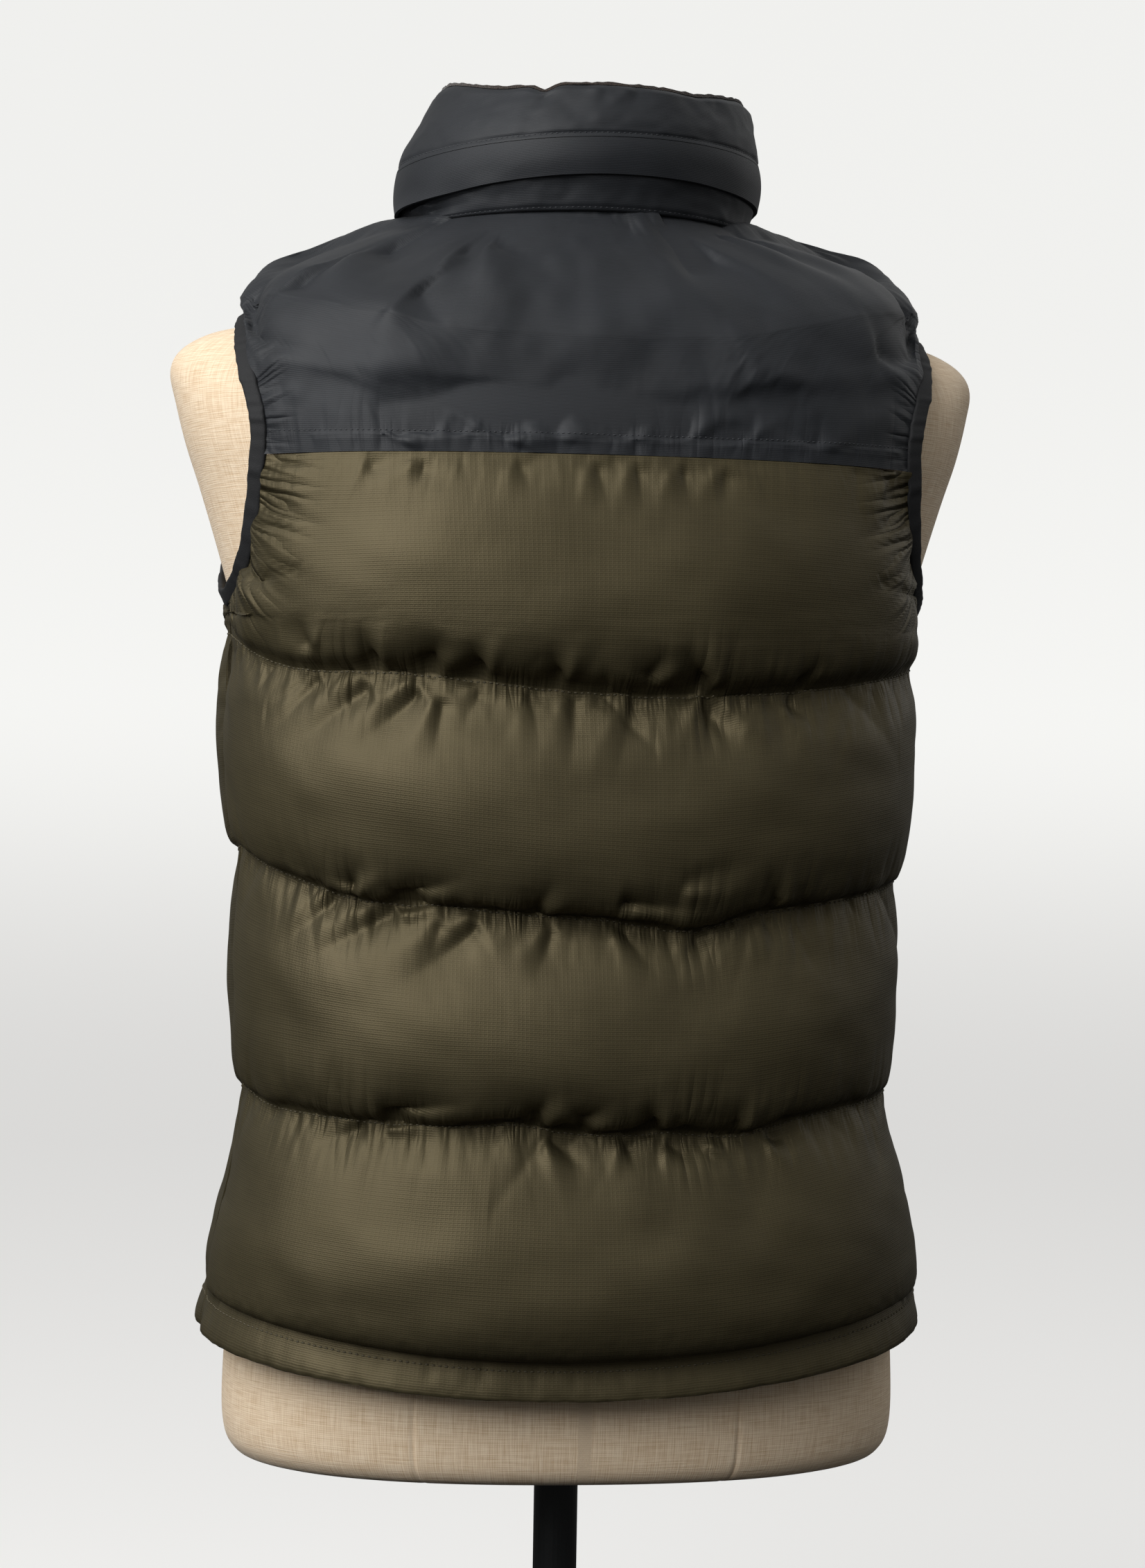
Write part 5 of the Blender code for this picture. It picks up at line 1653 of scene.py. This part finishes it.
def add_zip_teeth(material):
    """Mould the closed teeth, which come from the two tapes in turn."""
    points, out = front_line(NECK_SEAM + SLIDER_LEVEL, ZIP_PITCH / 2)
    sign = np.where(np.arange(len(points)) % 2, 1.0, -1.0)[:, None]
    half_height, half_depth = 0.42 * ZIP_PITCH, CHAIN_THICKNESS / 2
    stations = ((-0.0010, 0.5 * half_height, 0.5 * half_depth, 0.0),
                (-0.0004, half_height, half_depth, 0.0),
                (0.0022, 0.8 * half_height, half_depth, 0.0),
                (CHAIN_HALF_WIDTH - 0.0001, 0.5 * half_height, 0.6 * half_depth, 0.0))
    piece = add_copies("zip_chain_teeth", stations, 8, points, sign * (1.0, 0.0, 0.0), out, material,
                       "zip_tape")
    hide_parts("zip_chain")


class VEST_OT_zip(bpy.types.Operator):
    """Build the zip's woven tapes and the closed row of teeth moulded on their edges"""

    bl_idname = "object.add_vest_zip"
    bl_label = "Zip"

    def execute(self, context):
        made = finishes(context.scene.vest_colours)
        add_zip_tapes(made["tape"])
        add_zip_teeth(made["teeth"])
        return {"FINISHED"}


# ---------------------------------------------------------------- form and stand
# Depth of the cover's seams in metres, and half their width as an angle
SEAM_DEPTH = 0.0011
SEAM_WIDTH = 0.006
# The form's mean radius in depth, and the one that its cover is laid out flat by
FORM_RADIUS = 0.15
COVER_RADIUS = 0.16


def form_rings():
    """Give the torso's rings from the table, superellipses as on the vest, and their cloth's places.

    At each seam of the cover a groove exp(-(turn / width)^2) is sunk, with extra points beside it.
    """
    levels = np.linspace(0.0, len(FORM_RINGS) - 1.0, 145)
    height, half_width, back_y, front_y, power = table_values(FORM_RINGS, levels).T[..., None]
    seams = np.array([FORM_SEAM, math.pi - FORM_SEAM, math.pi + FORM_SEAM,
                      2 * math.pi - FORM_SEAM])
    beside = np.array([-0.020, -0.012, -0.006, 0.0, 0.006, 0.012, 0.020])
    even = np.linspace(0.0, 2 * math.pi, 168, endpoint=False)
    clear = np.abs(even[:, None] - seams).min(axis=1) > 0.03
    angle = np.sort(np.concatenate([even[clear], (seams[:, None] + beside).ravel()]))[None, :]
    groove = SEAM_DEPTH * np.exp(-(np.abs(angle[..., None] - seams).min(axis=-1) / SEAM_WIDTH) ** 2)
    sine, cosine = np.sin(angle), np.cos(angle)
    radius = (np.abs(sine) ** power + np.abs(cosine) ** power) ** (-1.0 / power)
    radius = radius * (1 - groove / FORM_RADIUS)
    depth = np.where(cosine > 0, back_y, -front_y)
    height = FORM_HEIGHT + np.repeat(height, angle.size, axis=1)
    rings = np.stack([half_width * radius * sine, depth * radius * cosine, height], axis=-1)
    uv = np.stack([np.repeat(angle * COVER_RADIUS, len(levels), 0), height], -1)
    return rings, uv


class VEST_OT_form(bpy.types.Operator):
    """Build the linen-covered torso, whose cover is sewn from panels that meet in four seams"""

    bl_idname = "object.add_linen_form"
    bl_label = "Linen form"

    def execute(self, context):
        made = finishes(context.scene.vest_colours)
        rings, uv = form_rings()
        piece = add_tube("form_linen_cover", rings[:, ::-1], [made["linen"]], uv[:, ::-1], closed=False)
        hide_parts("form_torso")
        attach(piece, VEST_BODY)
        return {"FINISHED"}


class VEST_OT_hardware(bpy.types.Operator):
    """Give the zip's slider, its pull tab and the stand their finishes"""

    bl_idname = "object.finish_hardware"
    bl_label = "Zip and stand"

    def execute(self, context):
        made = finishes(context.scene.vest_colours)
        for node, finish in (("stand_base", "steel"), ("stand_pole", "steel"), ("stand_catch", "steel"),
                             ("zip_slider", "metal"), ("zip_pull", "metal")):
            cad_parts[node].data.materials.clear()
            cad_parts[node].data.materials.append(made[finish])
        return {"FINISHED"}


# ---------------------------------------------------------------- stage
# The studio's floor is flat out to its radius, curves up over the curve's width and height,
# and its wall stands up to the top. The share says how many of the rings lie on the flat.
FLOOR_RADIUS, CURVE_WIDTH, CURVE_HEIGHT, WALL_TOP = 4.2, 1.8, 1.8, 5.0
FLOOR_SHARE = 0.55
STUDIO_COLUMNS = 96
# Every light looks at this height from this distance
LIGHT_HEIGHT = 0.70
LIGHT_DISTANCE = 2.4
# How far the camera stands to its right of the form's axis
CAMERA_SHIFT = 0.0028


def add_floor(material):
    """Turn a round floor that curves up into a wall, seen by the camera but by no cloth."""
    run = np.linspace(0.0, 1.0, 60)
    bend = (run - FLOOR_SHARE) / (1 - FLOOR_SHARE) * math.pi / 2
    radius = np.where(run < FLOOR_SHARE, run / FLOOR_SHARE * FLOOR_RADIUS,
                      FLOOR_RADIUS + CURVE_WIDTH * np.sin(bend))
    height = np.where(run < FLOOR_SHARE, 0.0, CURVE_HEIGHT * (1 - np.cos(bend)))
    radius = np.append(radius, FLOOR_RADIUS + CURVE_WIDTH)
    height = np.append(height, WALL_TOP)
    turn = np.linspace(0.0, 2 * math.pi, STUDIO_COLUMNS, endpoint=False)
    rings = np.stack([radius[:, None] * np.cos(turn), radius[:, None] * np.sin(turn),
                      np.repeat(height[:, None], STUDIO_COLUMNS, 1) - 0.0005], -1)
    faces = grid_quads(len(radius), STUDIO_COLUMNS, closed=True, flip=True)
    floor = write_mesh("studio_floor", rings.reshape(-1, 3), faces, [material], sharp=0)
    floor.visible_diffuse = False
    floor.visible_glossy = False


def light_room(strength):
    """Light everything from all round, more from above than from below."""
    world = bpy.data.worlds.new("studio_light")
    world.use_nodes = True
    tree = world.node_tree
    toward = add_node(tree, "TexCoord").outputs["Generated"]
    split = add_node(tree, "SeparateXYZ", {0: toward})
    glow = add_node(tree, "MapRange", {0: split.outputs[2], 1: -0.4, 2: 0.6,
                                       3: strength * 0.1, 4: strength * 1.9},
                    interpolation_type="SMOOTHSTEP")
    background = tree.nodes["Background"]
    background.inputs[0].default_value = linear("F4F4F2")
    tree.links.new(glow.outputs[0], background.inputs[1])
    bpy.context.scene.world = world


def add_lamps(sizes):
    """Hang the two large soft lights, each facing the middle of the vest."""
    for name, turn, rise, size, power in (
            ("key_softbox", sizes.key_turn, sizes.key_rise, sizes.key_size, sizes.key),
            ("side_softbox", sizes.side_turn, sizes.key_rise, sizes.key_size, sizes.side)):
        data = bpy.data.lights.new(name, "AREA")
        data.size = size
        data.energy = power
        lamp = bpy.data.objects.new(name, data)
        toward_lamp = Vector((math.sin(turn) * math.cos(rise), math.cos(turn) * math.cos(rise),
                              math.sin(rise)))
        lamp.location = Vector((0.0, 0.0, LIGHT_HEIGHT)) + toward_lamp * LIGHT_DISTANCE
        lamp.rotation_euler = toward_lamp.to_track_quat("Z", "Y").to_euler()
        bpy.context.scene.collection.objects.link(lamp)


def add_camera(sizes):
    """Stand the camera behind the vest, level, with a slight roll."""
    camera = bpy.data.cameras.new("camera")
    camera.lens = sizes.lens
    camera.sensor_width = 36.0
    camera.clip_end = 50.0
    obj = bpy.data.objects.new("camera", camera)
    look = Vector((-math.sin(sizes.turn), -math.cos(sizes.turn), 0.0))
    right = look.cross(Vector((0.0, 0.0, 1.0)))
    obj.location = Vector((0.0, 0.0, sizes.eye)) - look * sizes.distance + right * CAMERA_SHIFT
    obj.rotation_euler = (look.to_track_quat("-Z", "Y").to_matrix()
                          @ Matrix.Rotation(sizes.lean, 3, "Z")).to_euler()
    bpy.context.scene.collection.objects.link(obj)
    bpy.context.scene.camera = obj


class VEST_OT_stage(bpy.types.Operator):
    """Build the pale floor, the soft light and the camera"""

    bl_idname = "object.add_vest_stage"
    bl_label = "Stage"

    def execute(self, context):
        scene = context.scene
        sizes = scene.vest_stage
        made = finishes(scene.vest_colours)
        add_floor(made["floor"])
        light_room(sizes.fill)
        add_lamps(sizes)
        add_camera(sizes)
        scene.view_settings.view_transform = "Standard"
        return {"FINISHED"}


class VEST_PT_panel(bpy.types.Panel):
    """List the vest's settings and builders"""

    bl_idname = "VEST_PT_panel"
    bl_label = "Quilted vest"
    bl_space_type = "VIEW_3D"
    bl_region_type = "UI"
    bl_category = "Vest"

    def draw(self, context):
        for group in (context.scene.vest_sizes, context.scene.vest_colours, context.scene.vest_stage):
            for key in group.__annotations__:
                self.layout.prop(group, key)
        for operator in OPERATORS:
            self.layout.operator(operator.bl_idname)


OPERATORS = (VEST_OT_form, VEST_OT_body, VEST_OT_yoke, VEST_OT_collar, VEST_OT_bindings,
             VEST_OT_zip, VEST_OT_hardware, VEST_OT_stage)
CLASSES = (VestSizes, VestColours, StageSizes, *OPERATORS, VEST_PT_panel)


def register():
    """Register the classes and hang the settings on the scene."""
    for cls in CLASSES:
        bpy.utils.register_class(cls)
    bpy.types.Scene.vest_sizes = bpy.props.PointerProperty(type=VestSizes)
    bpy.types.Scene.vest_colours = bpy.props.PointerProperty(type=VestColours)
    bpy.types.Scene.vest_stage = bpy.props.PointerProperty(type=StageSizes)


def unregister():
    """Take the settings and the classes away again."""
    del bpy.types.Scene.vest_sizes
    del bpy.types.Scene.vest_colours
    del bpy.types.Scene.vest_stage
    for cls in reversed(CLASSES):
        bpy.utils.unregister_class(cls)


def main():
    """Build everything in order."""
    register()
    for operator in OPERATORS:
        module, call = operator.bl_idname.split(".")
        getattr(getattr(bpy.ops, module), call)()


if __name__ == "__main__":
    main()
